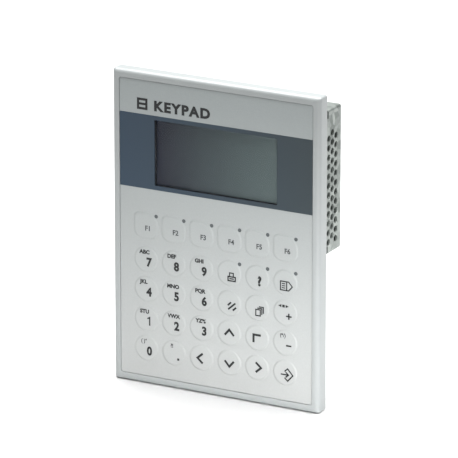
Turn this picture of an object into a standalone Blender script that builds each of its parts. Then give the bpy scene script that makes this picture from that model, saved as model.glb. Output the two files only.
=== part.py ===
"""Keypad operator panel with a text display, for the front of a control cabinet.

Metres, +Z up.  The front faces -Y and the cabinet side is +Y.  The origin is on the seat
face, the back of the front frame that lies on the cabinet panel, in the middle of the bare
strip along its lower edge.
"""
import math

import bmesh
import bpy
from mathutils import Vector
from mathutils.geometry import tessellate_polygon

MM = 0.001
GAP = 0.3 * MM                  # air between pieces that touch on the real panel
OVERSHOOT = 1.0 * MM            # how far a cutter passes the face it opens
ROOT = 0.5 * MM                 # how deep a joined piece starts inside its plate
SHARP_ANGLE = math.radians(35.0)
HOLE_SIDES = 8

# Front frame, a painted die casting
FRAME_DEPTH = 10.0 * MM
FRAME_ROUND = 3.0 * MM          # rounding of the front outer edge
FRAME_ROUND_STEPS = 3
FRAME_CORNER = 1.6 * MM
BORDER_SIDE = 5.25 * MM         # visible border beside the foil
BORDER_END = 5.5 * MM           # visible border above and below the foil
POCKET_CORNER = 1.8 * MM
FLOOR_THICKNESS = 2.0 * MM
SEAT_STRIP = 2.4 * MM           # bare strip outside the gasket groove
GROOVE_WIDTH = 3.2 * MM
GROOVE_DEPTH = 1.5 * MM
GASKET_PROUD = 0.8 * MM
BOSS_RADIUS = 4.0 * MM

# Keypad laminate, front to back
FOIL_RECESS = 0.5 * MM
FOIL_THICKNESS = 0.6 * MM
CIRCUIT_THICKNESS = 0.5 * MM
DOME_HEIGHT = 0.5 * MM
DOME_RADIUS = 4.5 * MM
DOME_TOP_RADIUS = 2.8 * MM
DOME_SIDES = 6
FOIL_CORNER = 1.5 * MM

# Keys
KEY_COLUMNS = 6
KEY_PITCH = 20.0 * MM
KEY_SPACE = 3.4 * MM            # between neighbouring keys
KEY_TRAVEL = 0.5 * MM
KEY_RISE = 0.5 * MM             # embossed height above the foil
KEY_FLANGE = 1.0 * MM           # rim behind the foil that keeps a key in
KEY_FLANGE_THICKNESS = 0.5 * MM
SIDE_MARGIN = 18.75 * MM        # from the foil's side to the first column's centre
FOOT_MARGIN = 18.6 * MM         # from the foil's lower edge to the lowest row's centre
FUNCTION_ROW_EXTRA = 2.6 * MM   # how much farther than the pitch the function row stands off
KEY_SIDES = 16
FUNCTION_CORNER_HIGH = 3.4 * MM
FUNCTION_CORNER_LOW = 5.4 * MM
LAMP_CORNER_EASE = 0.7 * MM     # how much less than round the corner by a lamp is
LAMP_INSET_X = 1.0 * MM         # from a key's right side to its lamp's centre
LAMP_INSET_Z = 1.3 * MM         # from a key's top to its lamp's centre
LAMP_SIZE = 1.2 * MM
LAMP_ROOM_CORNER = 0.8 * MM

# Display
WINDOW_WIDTH = 88.0 * MM
WINDOW_HEIGHT = 44.0 * MM
WINDOW_RISE = 49.1 * MM         # from the function row's centre to the window's centre
HEAD_MARGIN = 46.7 * MM         # from the window's centre to the foil's upper edge
WINDOW_CORNER = 0.6 * MM
DISPLAY_DEPTH = 2.4 * MM        # from the foil's front to the display's metal frame
DISPLAY_BORDER = 1.7 * MM
GLASS_SINK = 0.3 * MM
GLASS_THICKNESS = 2.0 * MM
DISPLAY_BOARD_SIDE = 3.3 * MM   # how far the board stands out beside the metal frame
DISPLAY_BOARD_END = 6.3 * MM    # how far it stands out above and below
BOARD_THICKNESS = 1.6 * MM

# Sheet-steel rear parts
REAR_INSET = 9.0 * MM           # from the frame's side to the sheet-steel parts
REAR_END_INSET = 7.0 * MM       # from the frame's upper or lower edge to the tray
TRAY_REST = 2.5 * MM            # how far the tray's wall stands outside the frame's cavity
TRAY_DEPTH = 8.0 * MM
TRAY_SHEET = 1.0 * MM
HOUSING_SHEET = 1.2 * MM
REAR_DEPTH = 38.0 * MM          # from the seat face to the back of the housing
HOUSING_DROP = 59.3 * MM        # from the window's centre to the housing's lower wall
HOUSING_HEIGHT = 95.0 * MM
HOUSING_BEND = 1.4 * MM         # outside radius of the folded rear edges
FLANGE_REACH = 8.0 * MM
FLANGE_SIDE_GAP = 7.0 * MM
NOTCH_HEIGHT = 5.5 * MM
NOTCH_END = 19.5 * MM           # depth behind the seat face where the corner notches end
VENT_RADIUS = 2.2 * MM
VENT_PITCH = 6.2 * MM
VENT_LOW_MARGIN = 8.0 * MM      # from the housing's lower wall to the lowest hole
VENT_COLUMNS = 3
VENT_ROWS = 12
VENT_COLUMN_STEP = 4.9 * MM
VENT_REAR_MARGIN = 8.2 * MM

# Fasteners
SCREW_RADIUS = 1.5 * MM
SCREW_CLEARANCE = 0.3 * MM
SCREW_HEAD_LIP = 1.3 * MM       # how much wider the head is than the shank
SCREW_CROWN_LIP = 0.52 * MM     # and the flat on top of the head
SCREW_HEAD_HEIGHT = 2.0 * MM
SCREW_BITE = 4.0 * MM
SCREW_SIDES = 12
TRAY_SCREW_INSET = 8.0 * MM     # from the frame's rear cavity, inwards
TRAY_SCREW_FOOT = 6.0 * MM      # from the cavity's lower side to the lower screws
TRAY_SCREW_DROP = 16.0 * MM     # from the housing's lower wall to the upper screws
HOUSING_SCREW_INSET = 17.0 * MM
BOARD_SCREW_INSET = 5.0 * MM

# Boards, connectors and the cable between the boards
MAIN_BOARD_DEPTH = 2.0 * MM     # from the seat face to the board's front
MAIN_BOARD_EDGE = 2.5 * MM      # from the frame's rear cavity to the board's edge
POWER_BOARD_MARGIN = 8.0 * MM   # from the housing's walls to the board's edge
POWER_PILLAR = 8.0 * MM
PILLAR_RADIUS = 3.0 * MM
PORT_WIDTH = 18.5 * MM
PORT_DEPTH = 9.0 * MM
PORT_TAPER = 1.48 * MM          # how much shorter its front side is at each end
PORT_OUT = 5.5 * MM
PORT_BODY_HEIGHT = 10.0 * MM
PORT_FLANGE_WIDTH = 30.8 * MM
PORT_FLANGE_DEPTH = 12.5 * MM
PORT_FLANGE_THICKNESS = 1.0 * MM
PORT_X = 12.0 * MM
PORT_PIN_RADIUS = 0.6 * MM
PORT_PIN_DEPTH = 3.0 * MM
PORT_PIN_STEP = 2.77 * MM
PORT_PIN_ROWS = 2.84 * MM
PORT_PINS = (4, 5)              # in the front row and in the back row
POWER_X = -36.0 * MM
POWER_WIDTH = 16.4 * MM
POWER_DEPTH = 11.0 * MM
POWER_HEADER_OUT = 2.0 * MM
POWER_HEADER_HEIGHT = 11.0 * MM
PLUG_HEIGHT = 15.0 * MM
PLUG_POLES = 3
PLUG_PITCH = 5.08 * MM
PLUG_WIRE_RADIUS = 1.3 * MM
PLUG_SCREW_RADIUS = 1.5 * MM
PLUG_HOLE_DEPTH = 6.0 * MM
PLUG_SCREW_DEPTH = 2.0 * MM
MAIN_CHIPS = (                  # shares of the board's half width and height; millimetres
    (0.0, 0.55, 28.0, 28.0, 2.6), (-0.55, 0.35, 14.0, 20.0, 2.4), (0.55, 0.35, 14.0, 20.0, 2.4),
    (-0.4, 0.12, 22.0, 12.0, 2.2), (0.35, 0.12, 12.0, 12.0, 2.2),
)
POWER_PARTS = (
    (-0.6, 0.75, 20.0, 16.0, -9.0), (0.0, 0.78, 18.0, 18.0, -7.0), (-0.25, 0.5, 12.0, 12.0, -10.0),
    (0.62, 0.62, 18.0, 22.0, -3.0),
)
RIBBON_WIDTH = 24.0 * MM
RIBBON_THICKNESS = 0.9 * MM
RIBBON_X = 30.0 * MM
RIBBON_RISE = 20.0 * MM         # from the power board's lower edge to the cable's ends
RIBBON_FOLD = 10.0 * MM         # how far its bridge stands above them
TAIL_HALF_THICKNESS = 1.2 * MM

ROUND_KEYS = (
    ("key_0", "key_point", "key_left", "key_down", "key_right", "key_enter"),
    ("key_1", "key_2", "key_3", "key_up", "key_home", "key_minus"),
    ("key_4", "key_5", "key_6", "key_lines", "key_pages", "key_plus"),
    ("key_7", "key_8", "key_9", "key_print", "key_help", "key_list"),
)
FUNCTION_KEYS = ("key_f1", "key_f2", "key_f3", "key_f4", "key_f5", "key_f6")
LAMP_KEYS = (*FUNCTION_KEYS, "key_print", "key_help", "key_list")

# Places worked out from the sizes above
KEY_RADIUS = 0.5 * (KEY_PITCH - KEY_SPACE)
KEY_FLANGE_RADIUS = KEY_RADIUS + KEY_FLANGE
FUNCTION_ROW_RISE = len(ROUND_KEYS) * KEY_PITCH + FUNCTION_ROW_EXTRA
FOIL_WIDTH = (KEY_COLUMNS - 1) * KEY_PITCH + 2.0 * SIDE_MARGIN
FOIL_HEIGHT = FOOT_MARGIN + FUNCTION_ROW_RISE + WINDOW_RISE + HEAD_MARGIN
FRAME_WIDTH = FOIL_WIDTH + 2.0 * BORDER_SIDE
FRAME_HEIGHT = FOIL_HEIGHT + 2.0 * BORDER_END
FRAME_LOW = -0.5 * SEAT_STRIP
FRAME_TOP = FRAME_LOW + FRAME_HEIGHT
FRAME_MIDDLE = 0.5 * (FRAME_LOW + FRAME_TOP)
CAVITY_HALF = 0.5 * FRAME_WIDTH - REAR_INSET - TRAY_REST
CAVITY_LOW = FRAME_LOW + REAR_END_INSET + TRAY_REST
CAVITY_TOP = FRAME_TOP - REAR_END_INSET - TRAY_REST
FOIL_LOW = FRAME_LOW + BORDER_END
Y_FRONT = -FRAME_DEPTH
Y_FOIL = Y_FRONT + FOIL_RECESS
Y_FOIL_BACK = Y_FOIL + FOIL_THICKNESS
Y_SPACER = Y_FOIL_BACK + GAP
Y_SPACER_BACK = Y_SPACER + KEY_FLANGE_THICKNESS + KEY_TRAVEL + DOME_HEIGHT
Y_CIRCUIT = Y_SPACER_BACK + GAP
Y_POCKET = Y_CIRCUIT + CIRCUIT_THICKNESS + GAP
Y_FLOOR_BACK = Y_POCKET + FLOOR_THICKNESS
WINDOW_Z = FOIL_LOW + FOOT_MARGIN + FUNCTION_ROW_RISE + WINDOW_RISE
DISPLAY_OUTER_WIDTH = WINDOW_WIDTH + 2.0 * DISPLAY_BORDER
DISPLAY_OUTER_HEIGHT = WINDOW_HEIGHT + 2.0 * DISPLAY_BORDER
Y_DISPLAY = Y_FOIL + DISPLAY_DEPTH
Y_DISPLAY_BOARD = Y_FLOOR_BACK + GAP
REAR_HALF = 0.5 * FRAME_WIDTH - REAR_INSET
Y_TRAY = GAP
Y_TRAY_BACK = Y_TRAY + TRAY_DEPTH
HOUSING_LOW = WINDOW_Z - HOUSING_DROP
HOUSING_TOP = HOUSING_LOW + HOUSING_HEIGHT
Y_HOUSING = Y_TRAY_BACK + GAP
Y_BOSS = MAIN_BOARD_DEPTH - GAP
BORE_RADIUS = SCREW_RADIUS + SCREW_CLEARANCE
Y_PILLAR = REAR_DEPTH - HOUSING_SHEET - POWER_PILLAR
Y_POWER_BOARD = Y_PILLAR - GAP - BOARD_THICKNESS
Y_CONNECTOR = Y_POWER_BOARD - GAP - 0.5 * PORT_FLANGE_DEPTH


def remove_everything():
    """Start from an empty scene."""
    for item in list(bpy.data.objects):
        bpy.data.objects.remove(item, do_unlink=True)


def finish(name, colour, roughness, metallic=0.0):
    """Return a plain surface material."""
    surface = bpy.data.materials.new(name)
    surface.use_nodes = True
    shader = surface.node_tree.nodes["Principled BSDF"]
    shader.inputs["Base Color"].default_value = (*colour, 1.0)
    shader.inputs["Roughness"].default_value = roughness
    shader.inputs["Metallic"].default_value = metallic
    return surface


def key_places():
    """Return every key as (name, centre x, centre z, is a function key)."""
    places = []
    for row, names in enumerate(ROUND_KEYS):
        for column, name in enumerate(names):
            places.append((name, *key_centre(column, row * KEY_PITCH), False))
    for column, name in enumerate(FUNCTION_KEYS):
        places.append((name, *key_centre(column, FUNCTION_ROW_RISE), True))
    return places


def key_centre(column, rise):
    """Return a key's centre from its column and its rise above the lowest row."""
    x = (column - 0.5 * (KEY_COLUMNS - 1)) * KEY_PITCH
    return x, FOIL_LOW + FOOT_MARGIN + rise


def lamp_places():
    """Return the centres of the nine signal lamps, each by its key's upper right corner."""
    shift_x = KEY_RADIUS - LAMP_INSET_X
    shift_z = KEY_RADIUS - LAMP_INSET_Z
    return [(x + shift_x, z + shift_z) for name, x, z, _ in key_places() if name in LAMP_KEYS]


def circle(u, v, radius, sides):
    """Return a regular outline around (u, v), with flats towards the axes."""
    step = 2.0 * math.pi / sides
    return [
        (u + radius * math.cos(step * (i + 0.5)), v + radius * math.sin(step * (i + 0.5)))
        for i in range(sides)
    ]


def rectangle(u0, v0, u1, v1):
    """Return a sharp rectangle between two corners."""
    return [(u0, v0), (u1, v0), (u1, v1), (u0, v1)]


def rounded(u, v, width, height, radii, steps=3):
    """Return a rounded rectangle; radii run from the upper right corner, anticlockwise."""
    if isinstance(radii, float):
        radii = (radii,) * 4
    points = []
    for quarter, radius in enumerate(radii):
        side_u = 1.0 if quarter in (0, 3) else -1.0
        side_v = 1.0 if quarter in (0, 1) else -1.0
        centre_u = u + side_u * (0.5 * width - radius)
        centre_v = v + side_v * (0.5 * height - radius)
        for i in range(steps + 1):
            angle = 0.5 * math.pi * (quarter + i / steps)
            points.append((centre_u + radius * math.cos(angle), centre_v + radius * math.sin(angle)))
    return points


def placed(axis, u, v, w):
    """Return a 3-D point from an outline's (u, v) and its level w along an axis."""
    return {"X": Vector((w, u, v)), "Y": Vector((u, w, v)), "Z": Vector((u, v, w))}[axis]


def add_prism(mesh, axis, outline, low, high, holes=()):
    """Add one closed prism, with through holes, to a bmesh."""
    loops = [outline, *holes]
    flat = [[Vector((u, v, 0.0)) for u, v in loop] for loop in loops]
    points = [point for loop in loops for point in loop]
    near = [mesh.verts.new(placed(axis, u, v, low)) for u, v in points]
    far = [mesh.verts.new(placed(axis, u, v, high)) for u, v in points]
    for a, b, c in tessellate_polygon(flat):
        mesh.faces.new((near[a], near[b], near[c]))
        mesh.faces.new((far[c], far[b], far[a]))
    start = 0
    for loop in loops:
        count = len(loop)
        for i in range(count):
            a = start + i
            b = start + (i + 1) % count
            mesh.faces.new((near[a], far[a], far[b], near[b]))
        start += count


def add_loft(mesh, axis, sections):
    """Add one closed solid through outlines of equal point count, each with its level."""
    rings = [
        [mesh.verts.new(placed(axis, u, v, level)) for u, v in outline]
        for outline, level in sections
    ]
    count = len(rings[0])
    for lower, upper in zip(rings, rings[1:]):
        for i in range(count):
            j = (i + 1) % count
            mesh.faces.new((lower[i], lower[j], upper[j], upper[i]))
    mesh.faces.new(rings[0])
    mesh.faces.new(rings[-1])


def body(name, surface, *fillers, smooth=False):
    """Make an object from functions that each add a closed solid to its mesh."""
    work = bmesh.new()
    for fill in fillers:
        fill(work)
    bmesh.ops.recalc_face_normals(work, faces=work.faces)
    mesh = bpy.data.meshes.new(name)
    work.to_mesh(mesh)
    work.free()
    if smooth:
        mesh.shade_smooth()
        mesh.set_sharp_from_angle(angle=SHARP_ANGLE)
    item = bpy.data.objects.new(name, mesh)
    bpy.context.scene.collection.objects.link(item)
    if surface:
        mesh.materials.append(surface)
    return item


def prism(axis, outline, low, high, holes=()):
    """Return a filler that adds a prism."""
    return lambda mesh: add_prism(mesh, axis, outline, low, high, holes)


def loft(axis, sections):
    """Return a filler that adds a loft."""
    return lambda mesh: add_loft(mesh, axis, sections)


def block(x0, x1, y0, y1, z0, z1):
    """Return a filler that adds a plain block."""
    return prism("Z", rectangle(x0, y0, x1, y1), z0, z1)


def shape(item, operation, *fillers):
    """Cut a tool out of an object, or join it on, with a Boolean."""
    tool = body(f"{item.name}-tool", None, *fillers)
    tool.hide_render = True
    tool.display_type = "WIRE"
    step = item.modifiers.new(operation.title(), "BOOLEAN")
    step.operation = operation
    step.solver = "EXACT"
    step.object = tool


def screw_places():
    """Return the tray's and the housing's screws as (name, x, z, level of the head's seat)."""
    flange_y = Y_HOUSING + HOUSING_SHEET
    top = HOUSING_TOP + 0.5 * FLANGE_REACH
    low = HOUSING_LOW - 0.5 * FLANGE_REACH
    places = []
    for side, x in (("right", 1.0), ("left", -1.0)):
        tray_x = x * (CAVITY_HALF - TRAY_SCREW_INSET)
        housing_x = x * (REAR_HALF - HOUSING_SCREW_INSET)
        places += [
            (f"tray_screw_low_{side}", tray_x, CAVITY_LOW + TRAY_SCREW_FOOT, Y_TRAY_BACK),
            (f"tray_screw_high_{side}", tray_x, HOUSING_LOW - TRAY_SCREW_DROP, Y_TRAY_BACK),
            (f"housing_screw_low_{side}", housing_x, low, flange_y),
            (f"housing_screw_high_{side}", housing_x, top, flange_y),
        ]
    return places


def power_board_edges():
    """Return the power board's half width and its lowest and highest z."""
    margin = HOUSING_SHEET + POWER_BOARD_MARGIN
    return REAR_HALF - margin, HOUSING_LOW + margin, HOUSING_TOP - margin


def pillar_places():
    """Return the four pillars of the power board as (name, x, z)."""
    half, low, high = power_board_edges()
    inset = BOARD_SCREW_INSET
    return [
        ("low_right", half - inset, low + inset),
        ("low_left", inset - half, low + inset),
        ("high_right", half - inset, high - inset),
        ("high_left", inset - half, high - inset),
    ]


def make_front_frame():
    """Make the cast frame: rounded front, pocket, rear cavity, gasket groove and bosses."""
    surface = finish("painted_casting", (0.84, 0.86, 0.86), 0.42)
    sections = []
    for i in range(FRAME_ROUND_STEPS + 1):
        angle = 0.5 * math.pi * i / FRAME_ROUND_STEPS
        inset = FRAME_ROUND * (1.0 - math.sin(angle))
        level = Y_FRONT + FRAME_ROUND * (1.0 - math.cos(angle))
        size = (FRAME_WIDTH - 2.0 * inset, FRAME_HEIGHT - 2.0 * inset)
        sections.append((rounded(0.0, FRAME_MIDDLE, *size, FRAME_CORNER), level))
    full = rounded(0.0, FRAME_MIDDLE, FRAME_WIDTH, FRAME_HEIGHT, FRAME_CORNER)
    sections.append((full, 0.0))
    frame = body("front_frame", surface, loft("Y", sections))

    around = 2.0 * GAP
    pocket = rounded(0.0, FRAME_MIDDLE, FOIL_WIDTH + around, FOIL_HEIGHT + around, POCKET_CORNER)
    shape(frame, "DIFFERENCE", prism("Y", pocket, Y_FRONT - OVERSHOOT, Y_POCKET))
    shape(frame, "DIFFERENCE",
          block(-CAVITY_HALF, CAVITY_HALF, Y_FLOOR_BACK, OVERSHOOT, CAVITY_LOW, CAVITY_TOP))
    for opening in (display_opening(), tail_opening(2.0 * GAP)):
        shape(frame, "DIFFERENCE", prism("Y", opening, Y_POCKET - OVERSHOOT, Y_FLOOR_BACK + OVERSHOOT))
    shape(frame, "DIFFERENCE", gasket_ring(0.0, -GROOVE_DEPTH, OVERSHOOT))
    bosses = [
        prism("Y", circle(x, z, BOSS_RADIUS, SCREW_SIDES), Y_FLOOR_BACK - ROOT, Y_BOSS)
        for _, x, z, _ in screw_places()
    ]
    shape(frame, "UNION", *bosses)
    depth = SCREW_BITE + 2.0 * GAP
    bores = [
        prism("Y", circle(x, z, BORE_RADIUS, SCREW_SIDES), Y_BOSS - depth, Y_BOSS + OVERSHOOT)
        for _, x, z, _ in screw_places()
    ]
    shape(frame, "DIFFERENCE", *bores)


def gasket_ring(clearance, low, high):
    """Return a filler for the ring between the frame's outside and the rear parts."""
    outer = 2.0 * (SEAT_STRIP + clearance)
    inner = 2.0 * (SEAT_STRIP + GROOVE_WIDTH - clearance)
    outline = rounded(0.0, FRAME_MIDDLE, FRAME_WIDTH - outer, FRAME_HEIGHT - outer, FRAME_CORNER)
    hole = rounded(0.0, FRAME_MIDDLE, FRAME_WIDTH - inner, FRAME_HEIGHT - inner, FRAME_CORNER)
    return prism("Y", outline, low, high, [hole])


def display_opening():
    """Return the opening around the display module, in the frame and in the inner sheets."""
    width = DISPLAY_OUTER_WIDTH + 2.0 * GAP
    height = DISPLAY_OUTER_HEIGHT + 2.0 * GAP
    return rounded(0.0, WINDOW_Z, width, height, WINDOW_CORNER)


def tail_opening(clearance):
    """Return the slot that the switch circuit's tail passes through."""
    half_u = 0.5 * RIBBON_WIDTH + clearance
    half_v = TAIL_HALF_THICKNESS + clearance
    display_low = WINDOW_Z - 0.5 * DISPLAY_OUTER_HEIGHT - DISPLAY_BOARD_END
    middle = display_low - half_v - GAP
    return rectangle(-half_u, middle - half_v, half_u, middle + half_v)


def key_outline(x, z, is_function, radius):
    """Return a key's outline at a radius; a function key is a square with unlike corners."""
    if not is_function:
        return circle(x, z, radius, KEY_SIDES)
    more = radius - KEY_RADIUS
    corners = (
        radius - LAMP_CORNER_EASE, FUNCTION_CORNER_HIGH + more,
        FUNCTION_CORNER_LOW + more, FUNCTION_CORNER_LOW + more,
    )
    return rounded(x, z, 2.0 * radius, 2.0 * radius, corners)


def spacer_opening(name, x, z, is_function):
    """Return the room around a key's rim, squared at the upper right where it has a lamp."""
    radius = KEY_FLANGE_RADIUS + GAP
    if name not in LAMP_KEYS:
        return key_outline(x, z, is_function, radius)
    other = FUNCTION_CORNER_HIGH if is_function else radius - LAMP_ROOM_CORNER
    low = FUNCTION_CORNER_LOW if is_function else radius - LAMP_ROOM_CORNER
    return rounded(x, z, 2.0 * radius, 2.0 * radius, (LAMP_ROOM_CORNER, other, low, low))


def make_keypad():
    """Make the foil, the spacer, the switch circuit and the thirty keys."""
    sheet = rounded(0.0, FRAME_MIDDLE, FOIL_WIDTH, FOIL_HEIGHT, FOIL_CORNER)
    window = rounded(0.0, WINDOW_Z, WINDOW_WIDTH, WINDOW_HEIGHT, WINDOW_CORNER)
    keys = key_places()

    foil = finish("printed_foil", (0.62, 0.65, 0.65), 0.5)
    holes = [key_outline(x, z, square, KEY_RADIUS + GAP) for _, x, z, square in keys]
    body("keypad_foil", foil, prism("Y", sheet, Y_FOIL, Y_FOIL_BACK, [window, *holes]))

    spacer = finish("spacer_foil", (0.75, 0.75, 0.72), 0.6)
    holes = [spacer_opening(*key) for key in keys]
    holes.append(display_opening())
    body("keypad_spacer", spacer, prism("Y", sheet, Y_SPACER, Y_SPACER_BACK, holes))

    circuit = finish("switch_circuit", (0.10, 0.32, 0.22), 0.5)
    back = Y_CIRCUIT + CIRCUIT_THICKNESS
    inside = Y_CIRCUIT + 0.5 * CIRCUIT_THICKNESS
    board = body("switch_circuit", circuit, prism("Y", sheet, Y_CIRCUIT, back, [display_opening()]))
    domes = [
        loft("Y", [
            (circle(x, z, DOME_TOP_RADIUS, DOME_SIDES), Y_CIRCUIT - DOME_HEIGHT),
            (circle(x, z, DOME_RADIUS, DOME_SIDES), Y_CIRCUIT),
            (circle(x, z, DOME_RADIUS, DOME_SIDES), inside),
        ])
        for _, x, z, _ in keys
    ]
    shape(board, "UNION", *domes)
    half = 0.5 * LAMP_SIZE
    lamps = [
        block(x - half, x + half, Y_CIRCUIT - DOME_HEIGHT, inside, z - half, z + half)
        for x, z in lamp_places()
    ]
    shape(board, "UNION", *lamps)
    shape(board, "UNION", prism("Y", tail_opening(0.0), inside, MAIN_BOARD_DEPTH - GAP))

    cap = finish("key_cap", (0.66, 0.69, 0.68), 0.48)
    for name, x, z, square in keys:
        face = key_outline(x, z, square, KEY_RADIUS)
        rim = key_outline(x, z, square, KEY_FLANGE_RADIUS)
        sections = [
            (face, Y_FOIL - KEY_RISE),
            (face, Y_SPACER),
            (rim, Y_SPACER),
            (rim, Y_SPACER + KEY_FLANGE_THICKNESS),
        ]
        body(name, cap, loft("Y", sections))


def make_display():
    """Make the clear window, the display's metal frame, its glass and its board."""
    clear = finish("clear_window", (0.25, 0.29, 0.32), 0.12)
    pane = (WINDOW_WIDTH - 2.0 * GAP, WINDOW_HEIGHT - 2.0 * GAP, WINDOW_CORNER)
    body("display_window", clear, prism("Y", rounded(0.0, WINDOW_Z, *pane), Y_FOIL, Y_FOIL_BACK))

    dark = finish("display_frame", (0.05, 0.05, 0.06), 0.45)
    outer = rounded(0.0, WINDOW_Z, DISPLAY_OUTER_WIDTH, DISPLAY_OUTER_HEIGHT, WINDOW_CORNER)
    inner = rounded(0.0, WINDOW_Z, WINDOW_WIDTH, WINDOW_HEIGHT, WINDOW_CORNER)
    back = Y_DISPLAY_BOARD - GAP
    body("lcd_frame", dark, prism("Y", outer, Y_DISPLAY, back, [inner]))

    glass = finish("lcd_glass", (0.16, 0.20, 0.19), 0.15)
    front = Y_DISPLAY + GLASS_SINK
    body("lcd_glass", glass, prism("Y", rounded(0.0, WINDOW_Z, *pane), front, front + GLASS_THICKNESS))

    green = finish("display_board", (0.05, 0.22, 0.12), 0.45)
    half_u = 0.5 * DISPLAY_OUTER_WIDTH + DISPLAY_BOARD_SIDE
    half_v = 0.5 * DISPLAY_OUTER_HEIGHT + DISPLAY_BOARD_END
    edge = rectangle(-half_u, WINDOW_Z - half_v, half_u, WINDOW_Z + half_v)
    body("lcd_board", green, prism("Y", edge, Y_DISPLAY_BOARD, Y_DISPLAY_BOARD + BOARD_THICKNESS))


def make_gasket():
    """Make the foam cord gasket that seals the frame on the cabinet panel."""
    foam = finish("foam_gasket", (0.03, 0.03, 0.03), 0.9)
    body("panel_gasket", foam, gasket_ring(GAP, GAP - GROOVE_DEPTH, GASKET_PROUD))


def bores_through(names, low, high):
    """Return fillers for the clearance holes of the screws whose names start so."""
    return [
        prism("Y", circle(x, z, BORE_RADIUS, SCREW_SIDES), low, high)
        for name, x, z, _ in screw_places()
        if name.startswith(names)
    ]


def make_rear_tray():
    """Make the shallow sheet-steel tray behind the whole frame."""
    steel = finish("zinc_coated_sheet", (0.55, 0.57, 0.56), 0.45, 0.8)
    low = FRAME_LOW + REAR_END_INSET
    high = FRAME_TOP - REAR_END_INSET
    wall = TRAY_SHEET
    tray = body("rear_tray", steel, block(-REAR_HALF, REAR_HALF, Y_TRAY, Y_TRAY_BACK, low, high))
    inside = REAR_HALF - wall
    shape(tray, "DIFFERENCE", block(-inside, inside, Y_TRAY - OVERSHOOT, Y_TRAY_BACK - wall,
                                    low + wall, high - wall))
    half, board_low, board_high = power_board_edges()
    way = block(-half, half, Y_TRAY, Y_TRAY_BACK + OVERSHOOT, board_low, board_high)
    shape(tray, "DIFFERENCE", way)
    ends = (Y_TRAY_BACK - wall - OVERSHOOT, Y_TRAY_BACK + OVERSHOOT)
    shape(tray, "DIFFERENCE", *bores_through(("tray", "housing"), *ends))


def vent_holes():
    """Return fillers for the staggered ventilation holes through both side walls."""
    holes = []
    for column in range(VENT_COLUMNS):
        y = REAR_DEPTH - VENT_REAR_MARGIN - column * VENT_COLUMN_STEP
        lift = VENT_LOW_MARGIN + 0.5 * VENT_PITCH * (column % 2)
        for row in range(VENT_ROWS):
            z = HOUSING_LOW + lift + row * VENT_PITCH
            for side in (-1.0, 1.0):
                inner = REAR_HALF - HOUSING_SHEET - OVERSHOOT
                ends = sorted((side * inner, side * (REAR_HALF + OVERSHOOT)))
                holes.append(prism("X", circle(y, z, VENT_RADIUS, HOLE_SIDES), *ends))
    return holes


def make_rear_housing():
    """Make the perforated sheet-steel housing with its two screw flanges and pillars."""
    steel = finish("galvanised_sheet", (0.52, 0.55, 0.53), 0.5, 0.75)
    deep = REAR_DEPTH - HOUSING_BEND
    bend = HOUSING_BEND * (1.0 - math.cos(0.25 * math.pi))
    outside = [
        (-REAR_HALF, Y_HOUSING), (REAR_HALF, Y_HOUSING), (REAR_HALF, deep),
        (REAR_HALF - bend, REAR_DEPTH - bend), (REAR_HALF - HOUSING_BEND, REAR_DEPTH),
        (HOUSING_BEND - REAR_HALF, REAR_DEPTH), (bend - REAR_HALF, REAR_DEPTH - bend),
        (-REAR_HALF, deep),
    ]
    housing = body("rear_housing", steel, prism("Z", outside, HOUSING_LOW, HOUSING_TOP))
    flange = REAR_HALF - FLANGE_SIDE_GAP
    low = HOUSING_LOW - FLANGE_REACH
    high = HOUSING_TOP + FLANGE_REACH
    shape(housing, "UNION", block(-flange, flange, Y_HOUSING, Y_HOUSING + HOUSING_SHEET, low, high))
    wall = HOUSING_SHEET
    inner = REAR_HALF - wall
    shape(housing, "DIFFERENCE", block(-inner, inner, Y_HOUSING - OVERSHOOT, REAR_DEPTH - wall,
                                       HOUSING_LOW + wall, HOUSING_TOP - wall))
    shape(housing, "DIFFERENCE", *vent_holes())
    shape(housing, "DIFFERENCE", *corner_notches())
    shape(housing, "DIFFERENCE", *connector_openings())
    ends = (Y_HOUSING - OVERSHOOT, Y_HOUSING + wall + OVERSHOOT)
    shape(housing, "DIFFERENCE", *bores_through("housing", *ends))
    pillars = [
        prism("Y", circle(x, z, PILLAR_RADIUS, SCREW_SIDES), Y_PILLAR, REAR_DEPTH - wall + ROOT)
        for _, x, z in pillar_places()
    ]
    shape(housing, "UNION", *pillars)
    bores = [
        prism("Y", circle(x, z, BORE_RADIUS, SCREW_SIDES), Y_PILLAR - OVERSHOOT,
              Y_PILLAR + SCREW_BITE + GAP)
        for _, x, z in pillar_places()
    ]
    shape(housing, "DIFFERENCE", *bores)


def corner_notches():
    """Return fillers for the notches at the front corners of both side walls."""
    notches = []
    for side in (-1.0, 1.0):
        ends = sorted((side * (REAR_HALF - HOUSING_SHEET - GAP), side * (REAR_HALF + OVERSHOOT)))
        for low in (HOUSING_LOW - OVERSHOOT, HOUSING_TOP - NOTCH_HEIGHT):
            front = Y_HOUSING + HOUSING_SHEET + OVERSHOOT
            notches.append(block(*ends, front, NOTCH_END, low, low + NOTCH_HEIGHT + OVERSHOOT))
    return notches


def connector_openings():
    """Return fillers for the port's and the power header's openings in the lower wall."""
    openings = []
    for x, width, depth in ((PORT_X, PORT_WIDTH, PORT_DEPTH), (POWER_X, POWER_WIDTH, POWER_DEPTH)):
        half_u = 0.5 * width + GAP
        half_v = 0.5 * depth + GAP
        openings.append(block(x - half_u, x + half_u, Y_CONNECTOR - half_v, Y_CONNECTOR + half_v,
                              HOUSING_LOW - OVERSHOOT, HOUSING_LOW + HOUSING_SHEET + OVERSHOOT))
    return openings


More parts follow.
